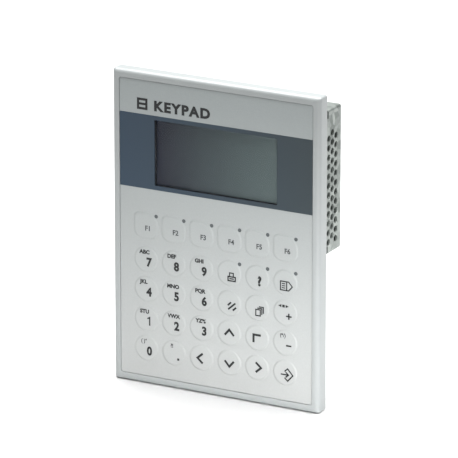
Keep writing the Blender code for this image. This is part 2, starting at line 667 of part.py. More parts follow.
def make_boards():
    """Make the main board behind the frame and the power board in the housing."""
    green = finish("circuit_board", (0.04, 0.24, 0.13), 0.45)
    half = CAVITY_HALF - MAIN_BOARD_EDGE
    low = CAVITY_LOW + MAIN_BOARD_EDGE
    high = HOUSING_TOP - MAIN_BOARD_EDGE
    back = MAIN_BOARD_DEPTH + BOARD_THICKNESS
    main_board = body("main_board", green, block(-half, half, MAIN_BOARD_DEPTH, back, low, high))
    shape(main_board, "UNION", *chip_blocks(MAIN_CHIPS, half, low, HOUSING_LOW - FLANGE_REACH, back))
    holes = [
        prism("Y", circle(x, z, BORE_RADIUS, SCREW_SIDES), MAIN_BOARD_DEPTH - OVERSHOOT,
              back + OVERSHOOT)
        for _, x, z, _ in screw_places() if z < high
    ]
    shape(main_board, "DIFFERENCE", *holes)

    half, low, high = power_board_edges()
    back = Y_POWER_BOARD + BOARD_THICKNESS
    power_board = body("power_board", green, block(-half, half, Y_POWER_BOARD, back, low, high))
    shape(power_board, "UNION", *chip_blocks(POWER_PARTS, half, low, high, Y_POWER_BOARD))
    holes = [
        prism("Y", circle(x, z, BORE_RADIUS, SCREW_SIDES), Y_POWER_BOARD - OVERSHOOT, back + OVERSHOOT)
        for _, x, z in pillar_places()
    ]
    shape(power_board, "DIFFERENCE", *holes)


def chip_blocks(parts, half, low, high, face):
    """Return fillers for parts on a board: place as shares of it, then width, height and rise."""
    blocks = []
    for share_x, share_z, width, height, rise in parts:
        x = share_x * half
        z = low + share_z * (high - low)
        sink = -math.copysign(ROOT, rise)
        ends = sorted((face + sink, face + rise * MM))
        blocks.append(block(x - 0.5 * width * MM, x + 0.5 * width * MM, *ends,
                            z - 0.5 * height * MM, z + 0.5 * height * MM))
    return blocks


def make_ribbon():
    """Make the flat cable from the main board to the power board."""
    grey = finish("ribbon_cable", (0.45, 0.47, 0.50), 0.6)
    _, low, _ = power_board_edges()
    front = MAIN_BOARD_DEPTH + BOARD_THICKNESS + GAP
    back = Y_POWER_BOARD - GAP
    t = RIBBON_THICKNESS
    z0 = low + RIBBON_RISE
    z1 = z0 + RIBBON_FOLD
    path = [
        (front, z0), (front + t, z0), (front + t, z1 - t), (back - t, z1 - t), (back - t, z0),
        (back, z0), (back, z1), (front, z1),
    ]
    half = 0.5 * RIBBON_WIDTH
    body("ribbon_cable", grey, prism("X", path, RIBBON_X - half, RIBBON_X + half))


def make_serial_port():
    """Make the nine-way socket in the housing's lower wall, with its flange inside."""
    metal = finish("port_shell", (0.70, 0.71, 0.72), 0.3, 0.9)
    inside = HOUSING_LOW + HOUSING_SHEET + GAP
    u = 0.5 * PORT_WIDTH
    v = 0.5 * PORT_DEPTH
    y = Y_CONNECTOR
    outline = [
        (PORT_X - u + PORT_TAPER, y - v), (PORT_X + u - PORT_TAPER, y - v),
        (PORT_X + u, y + v), (PORT_X - u, y + v)
    ]
    end = HOUSING_LOW - PORT_OUT
    port = body("serial_port", metal, prism("Z", outline, end, inside + PORT_BODY_HEIGHT))
    u = 0.5 * PORT_FLANGE_WIDTH
    v = 0.5 * PORT_FLANGE_DEPTH - GAP
    plate = block(PORT_X - u, PORT_X + u, y - v, y + v, inside, inside + PORT_FLANGE_THICKNESS)
    shape(port, "UNION", plate)
    pins = []
    for row, count in enumerate(PORT_PINS):
        shift = (row - 0.5) * PORT_PIN_ROWS
        for i in range(count):
            x = PORT_X + (i - 0.5 * (count - 1)) * PORT_PIN_STEP
            pins.append(prism("Z", circle(x, y + shift, PORT_PIN_RADIUS, HOLE_SIDES), end - OVERSHOOT,
                              end + PORT_PIN_DEPTH))
    shape(port, "DIFFERENCE", *pins)


def make_power_inlet():
    """Make the power header in the lower wall and the screw plug that hangs from it."""
    green = finish("terminal_green", (0.05, 0.35, 0.14), 0.5)
    u = 0.5 * POWER_WIDTH
    v = 0.5 * POWER_DEPTH
    y = Y_CONNECTOR
    header_end = HOUSING_LOW - POWER_HEADER_OUT
    body("power_header", green, block(POWER_X - u, POWER_X + u, y - v, y + v,
                                      header_end, header_end + POWER_HEADER_HEIGHT))
    top = header_end - GAP
    low = top - PLUG_HEIGHT
    plug = body("power_plug", green, block(POWER_X - u, POWER_X + u, y - v, y + v, low, top))
    wires = []
    screws = []
    for i in range(PLUG_POLES):
        x = POWER_X + (i - 0.5 * (PLUG_POLES - 1)) * PLUG_PITCH
        wires.append(prism("Z", circle(x, y, PLUG_WIRE_RADIUS, HOLE_SIDES), low - OVERSHOOT,
                           low + PLUG_HOLE_DEPTH))
        z = 0.5 * (low + top)
        screws.append(prism("Y", circle(x, z, PLUG_SCREW_RADIUS, HOLE_SIDES), y + v - PLUG_SCREW_DEPTH,
                            y + v + OVERSHOOT))
    shape(plug, "DIFFERENCE", *wires)
    shape(plug, "DIFFERENCE", *screws)


def make_screw(name, x, z, seat, reach, side, surface):
    """Make one pan-head screw along Y: side 1 has the head behind its seat, -1 before it."""
    shank = circle(x, z, SCREW_RADIUS, SCREW_SIDES)
    head = circle(x, z, SCREW_RADIUS + SCREW_HEAD_LIP, SCREW_SIDES)
    crown = circle(x, z, SCREW_RADIUS + SCREW_CROWN_LIP, SCREW_SIDES)
    under = seat + side * GAP
    top = under + side * SCREW_HEAD_HEIGHT
    sections = [(shank, reach), (shank, under), (head, under), (head, 0.5 * (under + top)), (crown, top)]
    body(name, surface, loft("Y", sections), smooth=True)


def make_screws():
    """Make the screws of the tray, the housing and the power board."""
    steel = finish("screw_steel", (0.62, 0.62, 0.60), 0.35, 0.9)
    for name, x, z, seat in screw_places():
        make_screw(name, x, z, seat, Y_BOSS - SCREW_BITE, 1.0, steel)
    for corner, x, z in pillar_places():
        make_screw(f"board_screw_{corner}", x, z, Y_POWER_BOARD, Y_PILLAR + SCREW_BITE, -1.0, steel)


def main():
    """Build the whole panel."""
    remove_everything()
    make_front_frame()
    make_keypad()
    make_display()
    make_gasket()
    make_rear_tray()
    make_rear_housing()
    make_boards()
    make_ribbon()
    make_serial_port()
    make_power_inlet()
    make_screws()


main()
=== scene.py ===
"""Looks of a keypad operator panel: printed foil front, text display, sheet-steel rear.

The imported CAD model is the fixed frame.  Metres, +Z up.  The front faces -Y, and y = 0 is the
seat face that lies on the cabinet panel.
"""
from __future__ import annotations

import logging  # noqa: E402
import math  # noqa: E402
from collections.abc import Sequence  # noqa: E402
from dataclasses import dataclass, field, replace  # noqa: E402
from enum import Enum  # noqa: E402

import bmesh  # noqa: E402
import bpy  # noqa: E402
from mathutils import Matrix, Vector  # noqa: E402
from mathutils.geometry import tessellate_polygon  # noqa: E402


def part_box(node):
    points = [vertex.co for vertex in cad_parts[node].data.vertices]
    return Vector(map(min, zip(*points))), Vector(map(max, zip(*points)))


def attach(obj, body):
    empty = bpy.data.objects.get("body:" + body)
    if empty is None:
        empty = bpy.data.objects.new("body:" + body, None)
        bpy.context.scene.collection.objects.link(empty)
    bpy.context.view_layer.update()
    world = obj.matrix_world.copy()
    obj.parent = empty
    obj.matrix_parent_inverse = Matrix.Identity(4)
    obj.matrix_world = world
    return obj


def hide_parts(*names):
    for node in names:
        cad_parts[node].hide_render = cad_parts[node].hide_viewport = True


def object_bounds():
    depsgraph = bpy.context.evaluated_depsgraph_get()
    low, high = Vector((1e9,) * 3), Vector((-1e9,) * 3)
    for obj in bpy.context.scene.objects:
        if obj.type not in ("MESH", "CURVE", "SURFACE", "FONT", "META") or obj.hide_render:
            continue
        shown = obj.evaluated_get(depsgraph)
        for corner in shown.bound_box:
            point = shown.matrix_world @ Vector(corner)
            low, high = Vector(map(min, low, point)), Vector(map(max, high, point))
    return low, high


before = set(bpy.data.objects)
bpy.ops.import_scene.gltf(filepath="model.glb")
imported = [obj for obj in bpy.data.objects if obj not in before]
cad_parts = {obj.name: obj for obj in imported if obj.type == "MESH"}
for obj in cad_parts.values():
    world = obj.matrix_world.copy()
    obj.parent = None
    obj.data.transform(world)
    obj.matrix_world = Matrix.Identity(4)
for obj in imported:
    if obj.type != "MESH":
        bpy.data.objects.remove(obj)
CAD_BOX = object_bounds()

log = logging.getLogger("panel")

MM = 0.001
PANEL = "panel"                  # the body that everything but the keys rides on
Loop = list[tuple[float, float]]
SHARP_ANGLE = 32.0               # degrees above which an edge stays crisp
LEVELS = ("low", "high")         # the screws' rows and columns, as the CAD nodes name them
SIDES = ("left", "right")


# ---------------------------------------------------------------- small tools

def linear(colour: str) -> tuple[float, float, float, float]:
    """Turn an sRGB hex colour into linear RGBA.

    Args:
        colour: Six hex digits after a #.

    Returns:
        Linear red, green and blue, and a full alpha.
    """
    parts = [int(colour[i:i + 2], 16) / 255.0 for i in (1, 3, 5)]
    red, green, blue = (c / 12.92 if c <= 0.04045 else ((c + 0.055) / 1.055) ** 2.4 for c in parts)
    return red, green, blue, 1.0


def add(tree: bpy.types.NodeTree, kind: str, inputs: dict | None = None,
        **settings: object) -> bpy.types.Node:
    """Add one node with its settings, values and links.

    Args:
        tree: The shader or geometry tree.
        kind: The node's type name.
        inputs: Socket name or number to a value, a socket to link from, or several of these.
        settings: Properties of the node.

    Returns:
        The new node.
    """
    item = tree.nodes.new(kind)
    for key, value in settings.items():
        setattr(item, key, value)
    for key, value in (inputs or {}).items():
        for source in value if isinstance(value, list) else [value]:
            if isinstance(source, bpy.types.NodeSocket):
                tree.links.new(source, item.inputs[key])
            else:
                item.inputs[key].default_value = source
    return item


class Axis(Enum):
    """The direction along which outlines are stacked."""

    X = 0
    Y = 1
    Z = 2

    def place(self, u: float, v: float, w: float) -> Vector:
        """Return the point of an outline's (u, v) at level w."""
        return (Vector((w, u, v)), Vector((u, w, v)), Vector((u, v, w)))[self.value]


@dataclass(frozen=True)
class Box:
    """A node's place at rest."""

    low: Vector
    high: Vector

    @classmethod
    def of(cls, node: str) -> Box:
        """Return the box of a CAD node."""
        return cls(*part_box(node))

    @property
    def centre(self) -> Vector:
        """The box's middle."""
        return (self.low + self.high) / 2

    @property
    def size(self) -> Vector:
        """The box's width, depth and height."""
        return self.high - self.low

    def outline(self, inset_u: float, inset_v: float, radius: float, steps: int = 6) -> Loop:
        """Return the box's outline seen from the front, with round corners.

        Args:
            inset_u: How far it is inset at each side.
            inset_v: How far it is inset at each end.
            radius: The corners' radius.
            steps: Edges in each corner.

        Returns:
            The outline's points, anticlockwise.
        """
        middle, size = self.centre, self.size
        return rounded(middle.x, middle.z, size.x - 2 * inset_u, size.z - 2 * inset_v, radius, steps)


def screw_nodes(group: str) -> list[str]:
    """Return the names of the four CAD screws of a group."""
    return [f"{group}_screw_{level}_{side}" for level in LEVELS for side in SIDES]


def circle(u: float, v: float, radius: float, sides: int = 32) -> Loop:
    """Return a round outline about (u, v)."""
    turn = 2 * math.pi / sides
    return [(u + radius * math.cos(turn * i), v + radius * math.sin(turn * i)) for i in range(sides)]


def rounded(u: float, v: float, width: float, height: float, radii: float | Sequence[float],
            steps: int = 6) -> Loop:
    """Return a rectangle with round corners.

    Args:
        u: Middle, first direction.
        v: Middle, second direction.
        width: Size in the first direction.
        height: Size in the second direction.
        radii: One radius, or four from the upper right corner anticlockwise.
        steps: Edges in each corner.

    Returns:
        The outline's points, anticlockwise.
    """
    corners = (radii,) * 4 if isinstance(radii, (int, float)) else radii
    points = []
    for quarter, radius in enumerate(corners):
        side_u = 1 if quarter in (0, 3) else -1
        side_v = 1 if quarter in (0, 1) else -1
        middle_u = u + side_u * (width / 2 - radius)
        middle_v = v + side_v * (height / 2 - radius)
        for i in range(steps + 1):
            angle = math.pi / 2 * (quarter + i / steps)
            points.append((middle_u + radius * math.cos(angle), middle_v + radius * math.sin(angle)))
    return points


def smooth(data: bpy.types.Mesh) -> None:
    """Shade a mesh smooth, apart from its crisp edges."""
    data.shade_smooth()
    data.set_sharp_from_angle(angle=math.radians(SHARP_ANGLE))


class Shell:
    """A closed mesh that is built ring by ring."""

    def __init__(self, axis: Axis = Axis.Y, mesh: bmesh.types.BMesh | None = None) -> None:
        """Start a mesh whose outlines are stacked along an axis, or go on with a given one."""
        self.axis = axis
        self.mesh = bmesh.new() if mesh is None else mesh

    def ring(self, outline: Loop, level: float) -> list[bmesh.types.BMVert]:
        """Add one outline's points at a level."""
        return [self.mesh.verts.new(self.axis.place(u, v, level)) for u, v in outline]

    def bridge(self, first: list, second: list, paint: int = 0) -> None:
        """Join two rings with a band of faces.

        Args:
            first: One ring.
            second: The other, with as many points.
            paint: The number of the faces' finish.
        """
        for i in range(len(first)):
            j = i - 1
            self.mesh.faces.new((first[i], first[j], second[j], second[i])).material_index = paint

    def cap(self, *rings: list, paint: int = 0) -> None:
        """Fill the first ring flat.

        Args:
            rings: The ring to fill, then the rings inside it that stay open as holes.
            paint: The number of the faces' finish.
        """
        u, v = (i for i in range(3) if i != self.axis.value)
        flat = [[Vector((point.co[u], point.co[v], 0)) for point in ring] for ring in rings]
        points = [point for ring in rings for point in ring]
        for corners in tessellate_polygon(flat):
            self.mesh.faces.new([points[i] for i in corners]).material_index = paint

    def tower(self, sections: Sequence[tuple[Loop, float]], paint: int = 0) -> list[list]:
        """Add rings one after another, each joined to the last.

        Args:
            sections: Outlines and their levels.
            paint: The number of the faces' finish.

        Returns:
            The rings.
        """
        rings = [self.ring(outline, level) for outline, level in sections]
        for first, second in zip(rings, rings[1:]):
            self.bridge(first, second, paint)
        return rings

    def solid(self, sections: Sequence[tuple[Loop, float]], paint: int = 0) -> None:
        """Add a closed solid through a stack of outlines.

        Args:
            sections: Outlines and their levels.
            paint: The number of the faces' finish.
        """
        rings = self.tower(sections, paint)
        self.cap(rings[0], paint=paint)
        self.cap(rings[-1], paint=paint)

    def tube(self, sections: Sequence[tuple[Loop, float]], paint: int = 0) -> None:
        """Add a closed ring whose section is given by outlines, the last joined to the first."""
        rings = self.tower(sections, paint)
        self.bridge(rings[-1], rings[0], paint)

    def make(self, name: str, finishes: Sequence[bpy.types.Material]) -> bpy.types.Object:
        """Turn the mesh into an object.

        Args:
            name: The piece's name.
            finishes: Its materials, in the order of the faces' numbers.

        Returns:
            The object, at the origin.
        """
        bmesh.ops.recalc_face_normals(self.mesh, faces=self.mesh.faces)
        data = bpy.data.meshes.new(name)
        self.mesh.to_mesh(data)
        self.mesh.free()
        for material in finishes:
            data.materials.append(material)
        smooth(data)
        item = bpy.data.objects.new(name, data)
        bpy.context.scene.collection.objects.link(item)
        return item


def settle(item: bpy.types.Object) -> None:
    """Apply a piece's modifiers, so that it is a plain mesh."""
    bpy.context.view_layer.update()
    ready = item.evaluated_get(bpy.context.evaluated_depsgraph_get())
    data = bpy.data.meshes.new_from_object(ready)
    item.modifiers.clear()
    old = item.data
    item.data = data
    bpy.data.meshes.remove(old)
    smooth(data)


def shape(item: bpy.types.Object, operation: str, tool: Shell) -> None:
    """Cut a tool out of a piece, or join it on.

    Args:
        item: The piece.
        operation: DIFFERENCE to cut, UNION to join.
        tool: The mesh to cut or join with, which is used up.
    """
    cutter = tool.make(f"{item.name}-tool", list(item.data.materials))
    step = item.modifiers.new(operation.title(), "BOOLEAN")
    step.operation = operation
    step.solver = "EXACT"
    step.object = cutter
    settle(item)
    bpy.data.objects.remove(cutter, do_unlink=True)


def adopt(piece: bpy.types.Object, slot: str, *nodes: str, body: str = PANEL) -> None:
    """Hand a finished piece to the frame.

    Args:
        piece: The piece, in place.
        slot: The name of a material slot; not used.
        nodes: The CAD nodes that it stands for.
        body: The CAD body that it rides on.
    """
    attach(piece, body)
    if nodes:
        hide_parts(*nodes)
    log.info("%s: %d faces, stands for %s", piece.name, len(piece.data.polygons),
             list(nodes) or "nothing")


# ---------------------------------------------------------------- finishes

@dataclass(frozen=True)
class Finish:
    """A surface: one base colour and gloss, dressed with what its making leaves on it."""

    name: str
    colour: str
    roughness: float
    metallic: float = 0.0
    specular: float = 0.5
    patch: float = 6.0               # size in millimetres of the patches where the gloss changes
    gloss: float = 0.04              # how far the roughness strays either way in them

    def build(self) -> bpy.types.Material:
        """Return the material, which is made once.

        Returns:
            The material of this finish.
        """
        if self.name in bpy.data.materials:
            return bpy.data.materials[self.name]
        material = bpy.data.materials.new(self.name)
        material.use_nodes = True
        tree = material.node_tree
        shader = tree.nodes["Principled BSDF"]
        shader.inputs["Base Color"].default_value = linear(self.colour)
        shader.inputs["Roughness"].default_value = self.roughness
        shader.inputs["Metallic"].default_value = self.metallic
        shader.inputs["Specular IOR Level"].default_value = self.specular
        self.dress(tree, shader)
        return material

    def dress(self, tree: bpy.types.NodeTree, shader: bpy.types.Node) -> None:
        """Add the pattern of this finish; a plain finish has a faint unevenness."""
        self.mottle(tree, shader, self.colour, self.colour)

    def place(self, tree: bpy.types.NodeTree) -> bpy.types.NodeSocket:
        """Return the piece's own coordinates, in metres."""
        return add(tree, "ShaderNodeTexCoord").outputs["Object"]

    def mottle(self, tree: bpy.types.NodeTree, shader: bpy.types.Node, first: str, second: str) -> None:
        """Vary colour and roughness in soft patches.

        Args:
            tree: The material's tree.
            shader: Its shader.
            first: Hex colour of the lows.
            second: Hex colour of the highs.
        """
        value = add(tree, "ShaderNodeTexNoise", {"Vector": self.place(tree), "Detail": 3.0,
                                                 "Scale": 1000.0 / self.patch}).outputs["Fac"]
        if first != second:
            tone = add(tree, "ShaderNodeMix", {0: value, 6: linear(first), 7: linear(second)},
                       data_type="RGBA")
            tree.links.new(tone.outputs[2], shader.inputs["Base Color"])
        rough = add(tree, "ShaderNodeMapRange", {"Value": value, "To Min": self.roughness - self.gloss,
                                                 "To Max": self.roughness + self.gloss})
        tree.links.new(rough.outputs["Result"], shader.inputs["Roughness"])

    def relief(self, tree: bpy.types.NodeTree, shader: bpy.types.Node, grain: float,
               depth: float) -> None:
        """Add a fine, uneven relief.

        Args:
            tree: The material's tree.
            shader: Its shader.
            grain: Size of its bumps in millimetres.
            depth: Their depth in millimetres.
        """
        noise = add(tree, "ShaderNodeTexNoise", {"Vector": self.place(tree), "Scale": 1000.0 / grain,
                                                 "Detail": 2.0})
        bump = add(tree, "ShaderNodeBump", {"Height": noise.outputs["Fac"], "Distance": depth * MM,
                                            "Strength": 1.0})
        tree.links.new(bump.outputs["Normal"], shader.inputs["Normal"])


@dataclass(frozen=True)
class PaintedCasting(Finish):
    """Wet-painted zinc die casting: satin off-white with a fine orange peel."""

    patch: float = 9.0
    thin: str = "#999d9d"            # where the paint lies thin
    thick: str = "#9fa3a3"
    peel: float = 1.1                # grain and depth of the orange peel in millimetres
    peel_depth: float = 0.004

    def dress(self, tree: bpy.types.NodeTree, shader: bpy.types.Node) -> None:
        """Add the orange peel, and a trace of unevenness in tone and gloss."""
        self.mottle(tree, shader, self.thin, self.thick)
        self.relief(tree, shader, self.peel, self.peel_depth)


@dataclass(frozen=True)
class PrintedFoil(Finish):
    """Polyester foil printed from behind: matt embossed skin over a silver-grey ink, with painted shade
    that darkens it towards the top.
    """

    # painted shade: the darker tone that the foil takes at its head
    top: str = "#969c9c"
    shade_start_level: float = 10 * MM      # painted shade starts to darken the ink here
    shade_full_level: float = 190 * MM     # and is at its full depth here
    flake: float = 0.7               # real metal flakes are too fine to see: drawn at 0.7 mm
    flake_share: float = 0.03        # how far a flake's tone strays from the middle
    grain: float = 0.6               # grain and depth of the skin in millimetres
    grain_depth: float = 0.002

    def dress(self, tree: bpy.types.NodeTree, shader: bpy.types.Node) -> None:
        """Darken the ink towards the head with painted shade, and add the skin's fine grain.

        Args:
            tree: The material's tree.
            shader: Its shader.
        """
        # painted shade: the colour runs from the ink at the foot to the darker tone at the head
        split = add(tree, "ShaderNodeSeparateXYZ", {"Vector": self.place(tree)})
        share = add(tree, "ShaderNodeMapRange", {"Value": split.outputs["Z"],
                                                 "From Min": self.shade_start_level,
                                                 "From Max": self.shade_full_level})
        ink = add(tree, "ShaderNodeMix", {0: share.outputs["Result"], 6: linear(self.colour),
                                          7: linear(self.top)}, data_type="RGBA")
        noise = add(tree, "ShaderNodeTexNoise", {"Vector": self.place(tree),
                                                 "Scale": 1000.0 / self.flake, "Detail": 2.0})
        fine = add(tree, "ShaderNodeMapRange", {"Value": noise.outputs["Fac"],
                                                "To Min": 0.5 - self.flake_share,
                                                "To Max": 0.5 + self.flake_share})
        grey = add(tree, "ShaderNodeCombineColor", {i: fine.outputs["Result"] for i in range(3)})
        both = add(tree, "ShaderNodeMix", {0: 1.0, 6: ink.outputs[2], 7: grey.outputs["Color"]},
                   data_type="RGBA", blend_type="OVERLAY")
        tree.links.new(both.outputs[2], shader.inputs["Base Color"])
        self.relief(tree, shader, self.grain, self.grain_depth)


@dataclass(frozen=True)
class InkWithPaintedReflection(Finish):
    """Dark ink under polyester, its tone shifted from left to right by a painted reflection."""

    # painted reflection: the tone at the right end
    right: str = "#2d383d"
    half: float = 70 * MM            # the painted reflection's blend reaches this far either side of the middle

    def dress(self, tree: bpy.types.NodeTree, shader: bpy.types.Node) -> None:
        """Paint the reflection as a blend of two tones across the width."""
        tree.links.new(self.blend(tree), shader.inputs["Base Color"])

    def blend(self, tree: bpy.types.NodeTree) -> bpy.types.NodeSocket:
        """Return the painted reflection's tone, from the left colour to the right one."""
        split = add(tree, "ShaderNodeSeparateXYZ", {"Vector": self.place(tree)})
        share = add(tree, "ShaderNodeMapRange", {"Value": split.outputs["X"],
                                                 "From Min": -self.half, "From Max": self.half})
        return add(tree, "ShaderNodeMix", {0: share.outputs["Result"], 6: linear(self.colour),
                                           7: linear(self.right)}, data_type="RGBA").outputs[2]


@dataclass(frozen=True)
class LcdCell(InkWithPaintedReflection):
    """Liquid-crystal glass at rest: a dark cell, shifted from violet to green grey by a painted reflection.
    """

    # painted reflection: the green grey at the right end
    right: str = "#5c6a69"
    half: float = 44 * MM
    row: float = 5.5 * MM            # spacing of the character rows
    row_shade: float = 0.98          # how dark the gap between two rows is, next to the row

    def dress(self, tree: bpy.types.NodeTree, shader: bpy.types.Node) -> None:
        """Blend the tones of the painted reflection, with faint character rows.

        Args:
            tree: The material's tree.
            shader: Its shader.
        """
        split = add(tree, "ShaderNodeSeparateXYZ", {"Vector": self.place(tree)})
        rows = add(tree, "ShaderNodeMath", {0: split.outputs["Z"], 1: 2 * math.pi / self.row},
                   operation="MULTIPLY")
        wave = add(tree, "ShaderNodeMath", {0: rows.outputs[0]}, operation="SINE")
        shade = add(tree, "ShaderNodeMapRange", {"Value": wave.outputs[0], "From Min": -1.0,
                                                 "To Min": self.row_shade, "To Max": 1.0})
        dim = add(tree, "ShaderNodeVectorMath", {0: self.blend(tree), "Scale": shade.outputs["Result"]},
                  operation="SCALE")
        tree.links.new(dim.outputs["Vector"], shader.inputs["Base Color"])


@dataclass(frozen=True)
class ClearPane(Finish):
    """Clear hard-coated polycarbonate: nearly invisible apart from its gloss."""

    patch: float = 25.0
    gloss: float = 0.03
    cover: float = 0.07              # how much of what lies behind the pane hides

    def dress(self, tree: bpy.types.NodeTree, shader: bpy.types.Node) -> None:
        """Let the display show through, and keep a soft wipe pattern in the gloss."""
        shader.inputs["Alpha"].default_value = self.cover
        self.mottle(tree, shader, self.colour, self.colour)


@dataclass(frozen=True)
class SpangledSteel(Finish):
    """Hot-dip galvanised sheet: crystal flowers of zinc, each reflecting its own grey."""

    flower: float = 5.0              # size of a crystal in millimetres
    dark: str = "#666c69"
    frost: float = 1.6               # grain of the frosting inside a crystal in millimetres
    frost_share: float = 0.45        # how much of the tone is frosting
    frost_depth: float = 0.012
    flower_gloss: float = 0.12       # how far the roughness strays from crystal to crystal

    def dress(self, tree: bpy.types.NodeTree, shader: bpy.types.Node) -> None:
        """Give each crystal its tone and gloss, and the sheet a shallow waviness.

        Args:
            tree: The material's tree.
            shader: Its shader.
        """
        cells = add(tree, "ShaderNodeTexVoronoi", {"Vector": self.place(tree),
                                                   "Scale": 1000.0 / self.flower})
        tone = add(tree, "ShaderNodeSeparateColor", {"Color": cells.outputs["Color"]})
        frost = add(tree, "ShaderNodeTexNoise", {"Vector": self.place(tree), "Detail": 4.0,
                                                 "Scale": 1000.0 / self.frost}).outputs["Fac"]
        blend = add(tree, "ShaderNodeMix", {"Factor": self.frost_share, "A": tone.outputs[0], "B": frost})
        zinc = add(tree, "ShaderNodeMix", {0: blend.outputs[0], 6: linear(self.dark),
                                           7: linear(self.colour)}, data_type="RGBA")
        tree.links.new(zinc.outputs[2], shader.inputs["Base Color"])
        rough = add(tree, "ShaderNodeMapRange", {"Value": tone.outputs[1],
                                                 "To Min": self.roughness - self.flower_gloss,
                                                 "To Max": self.roughness + self.flower_gloss})
        tree.links.new(rough.outputs["Result"], shader.inputs["Roughness"])
        bump = add(tree, "ShaderNodeBump", {"Height": frost, "Distance": self.frost_depth * MM,
                                            "Strength": 1.0})
        tree.links.new(bump.outputs["Normal"], shader.inputs["Normal"])


@dataclass(frozen=True)
class FoamCord(Finish):
    """Closed-cell EPDM foam: black, dull, with fine pores."""

    patch: float = 1.0
    gloss: float = 0.05
    dark_tone: str = "#1c1d1e"          # the darker tone, in random patches
    skin: str = "#2a2b2c"
    pore: float = 0.5                # size and depth of a pore in millimetres
    pore_depth: float = 0.05

    def dress(self, tree: bpy.types.NodeTree, shader: bpy.types.Node) -> None:
        """Add patches of tone and gloss, and the pores."""
        self.mottle(tree, shader, self.dark_tone, self.skin)
        self.relief(tree, shader, self.pore, self.pore_depth)


@dataclass(frozen=True)
class SolderMask(Finish):
    """Green lacquered circuit board, with black moulded parts standing on it."""

    face: float = 0.0                # the board's face that carries parts, along Y
    parts_side: float = 1.0          # 1 where they stand on the +Y side, -1 on the other
    clearance: float = 0.1 * MM      # what stands further off the face than this is a part
    track: float = 4.0               # tracks run in blocks about this wide in millimetres
    lacquer: tuple[str, str] = ("#0d4a2a", "#125834")
    gap: str = "#0a3a20"
    part: str = "#1b1c1e"

    def dress(self, tree: bpy.types.NodeTree, shader: bpy.types.Node) -> None:
        """Show tracks under the lacquer, and turn what stands off the board black.

        Args:
            tree: The material's tree.
            shader: Its shader.
        """
        split = add(tree, "ShaderNodeSeparateXYZ", {"Vector": self.place(tree)})
        off = add(tree, "ShaderNodeMath", {0: split.outputs["Y"], 1: self.face}, operation="SUBTRACT")
        proud = add(tree, "ShaderNodeMath", {0: off.outputs[0], 1: self.parts_side},
                    operation="MULTIPLY")
        is_part = add(tree, "ShaderNodeMath", {0: proud.outputs[0], 1: self.clearance},
                      operation="GREATER_THAN")
        tracks = add(tree, "ShaderNodeTexBrick", {"Vector": self.place(tree),
                                                  "Scale": 1000.0 / self.track, "Mortar Size": 0.03,
                                                  "Color1": linear(self.lacquer[0]),
                                                  "Color2": linear(self.lacquer[1]),
                                                  "Mortar": linear(self.gap)})
        both = add(tree, "ShaderNodeMix", {0: is_part.outputs[0], 6: tracks.outputs["Color"],
                                           7: linear(self.part)}, data_type="RGBA")
        tree.links.new(both.outputs[2], shader.inputs["Base Color"])


@dataclass(frozen=True)
class RibbonCable(Finish):
    """Grey PVC flat cable: round wires side by side, the first one marked red."""

    edge: float = 0.0                # the red wire lies below this X
    wire: float = 1.27 * MM          # spacing of the wires
    ridge: float = 0.3               # height of a wire's ridge in millimetres
    mark: str = "#a3262a"

    def dress(self, tree: bpy.types.NodeTree, shader: bpy.types.Node) -> None:
        """Add a ridge for every wire, and the red edge.

        Args:
            tree: The material's tree.
            shader: Its shader.
        """
        across = add(tree, "ShaderNodeSeparateXYZ", {"Vector": self.place(tree)}).outputs["X"]
        phase = add(tree, "ShaderNodeMath", {0: across, 1: 2 * math.pi / self.wire}, operation="MULTIPLY")
        ridge = add(tree, "ShaderNodeMath", {0: phase.outputs[0]}, operation="SINE")
        bump = add(tree, "ShaderNodeBump", {"Height": ridge.outputs[0], "Distance": self.ridge * MM,
                                            "Strength": 1.0})
        tree.links.new(bump.outputs["Normal"], shader.inputs["Normal"])
        red = add(tree, "ShaderNodeMath", {0: across, 1: self.edge}, operation="LESS_THAN")
        tone = add(tree, "ShaderNodeMix", {0: red.outputs[0], 6: linear(self.colour),
                                           7: linear(self.mark)}, data_type="RGBA")
        tree.links.new(tone.outputs[2], shader.inputs["Base Color"])


# the border round the front: smooth satin paint that takes a soft highlight along its round edge
CASTING = PaintedCasting("painted zinc casting", "#9ca0a0", 0.32)
# the keypad's skin: matt and slightly silvery, with painted shade darkening it towards the top
FOIL = PrintedFoil("matt printed polyester", "#a9abaa", 0.42)
# the band round the display: deep slate ink, with painted reflection turning it from blue on the left to
# greyer on the right
BAND = InkWithPaintedReflection("slate ink with painted reflection", "#26394a", 0.4, specular=0.4)
# numbers and signs: crisp and nearly black, without shine
INK = Finish("black screen ink", "#0e1012", 0.55)
# the function keys' names: thinner and softer than the rest
GREY_INK = Finish("grey screen ink", "#36393b", 0.5)
# unlit signal lamps: small dark grey dots
LAMP = Finish("smoked lamp window", "#4b5052", 0.35)
# the window: a faint sheen over the display
PANE = ClearPane("clear polycarbonate", "#3a3f48", 0.12)
# the display at rest: dark glass, with painted reflection turning it from violet to green grey
LCD = LcdCell("display glass with painted reflection", "#20222f", 0.35, specular=0.2)
# the dark rim that frames the display's glass
LCD_STEEL = Finish("black-painted display steel", "#202225", 0.5)
# the housing: grey crystals of uneven tone, half dull
HOUSING_STEEL = SpangledSteel("hot-dip galvanised steel", "#a7ada9", 0.5, 0.6)
# the tray: brighter and more even than the housing, with small crystals
TRAY_STEEL = SpangledSteel("zinc-coated steel", "#c9cccb", 0.42, 0.8, flower=2.2, dark="#a4a8a7")
# the seal round the back of the frame: dull black with pores
FOAM = FoamCord("EPDM foam cord", "#232425", 0.85)
# screws and pillars: bright, slightly blue-grey metal
SCREW_STEEL = Finish("zinc-plated screw steel", "#b9bbb8", 0.3, 1.0)
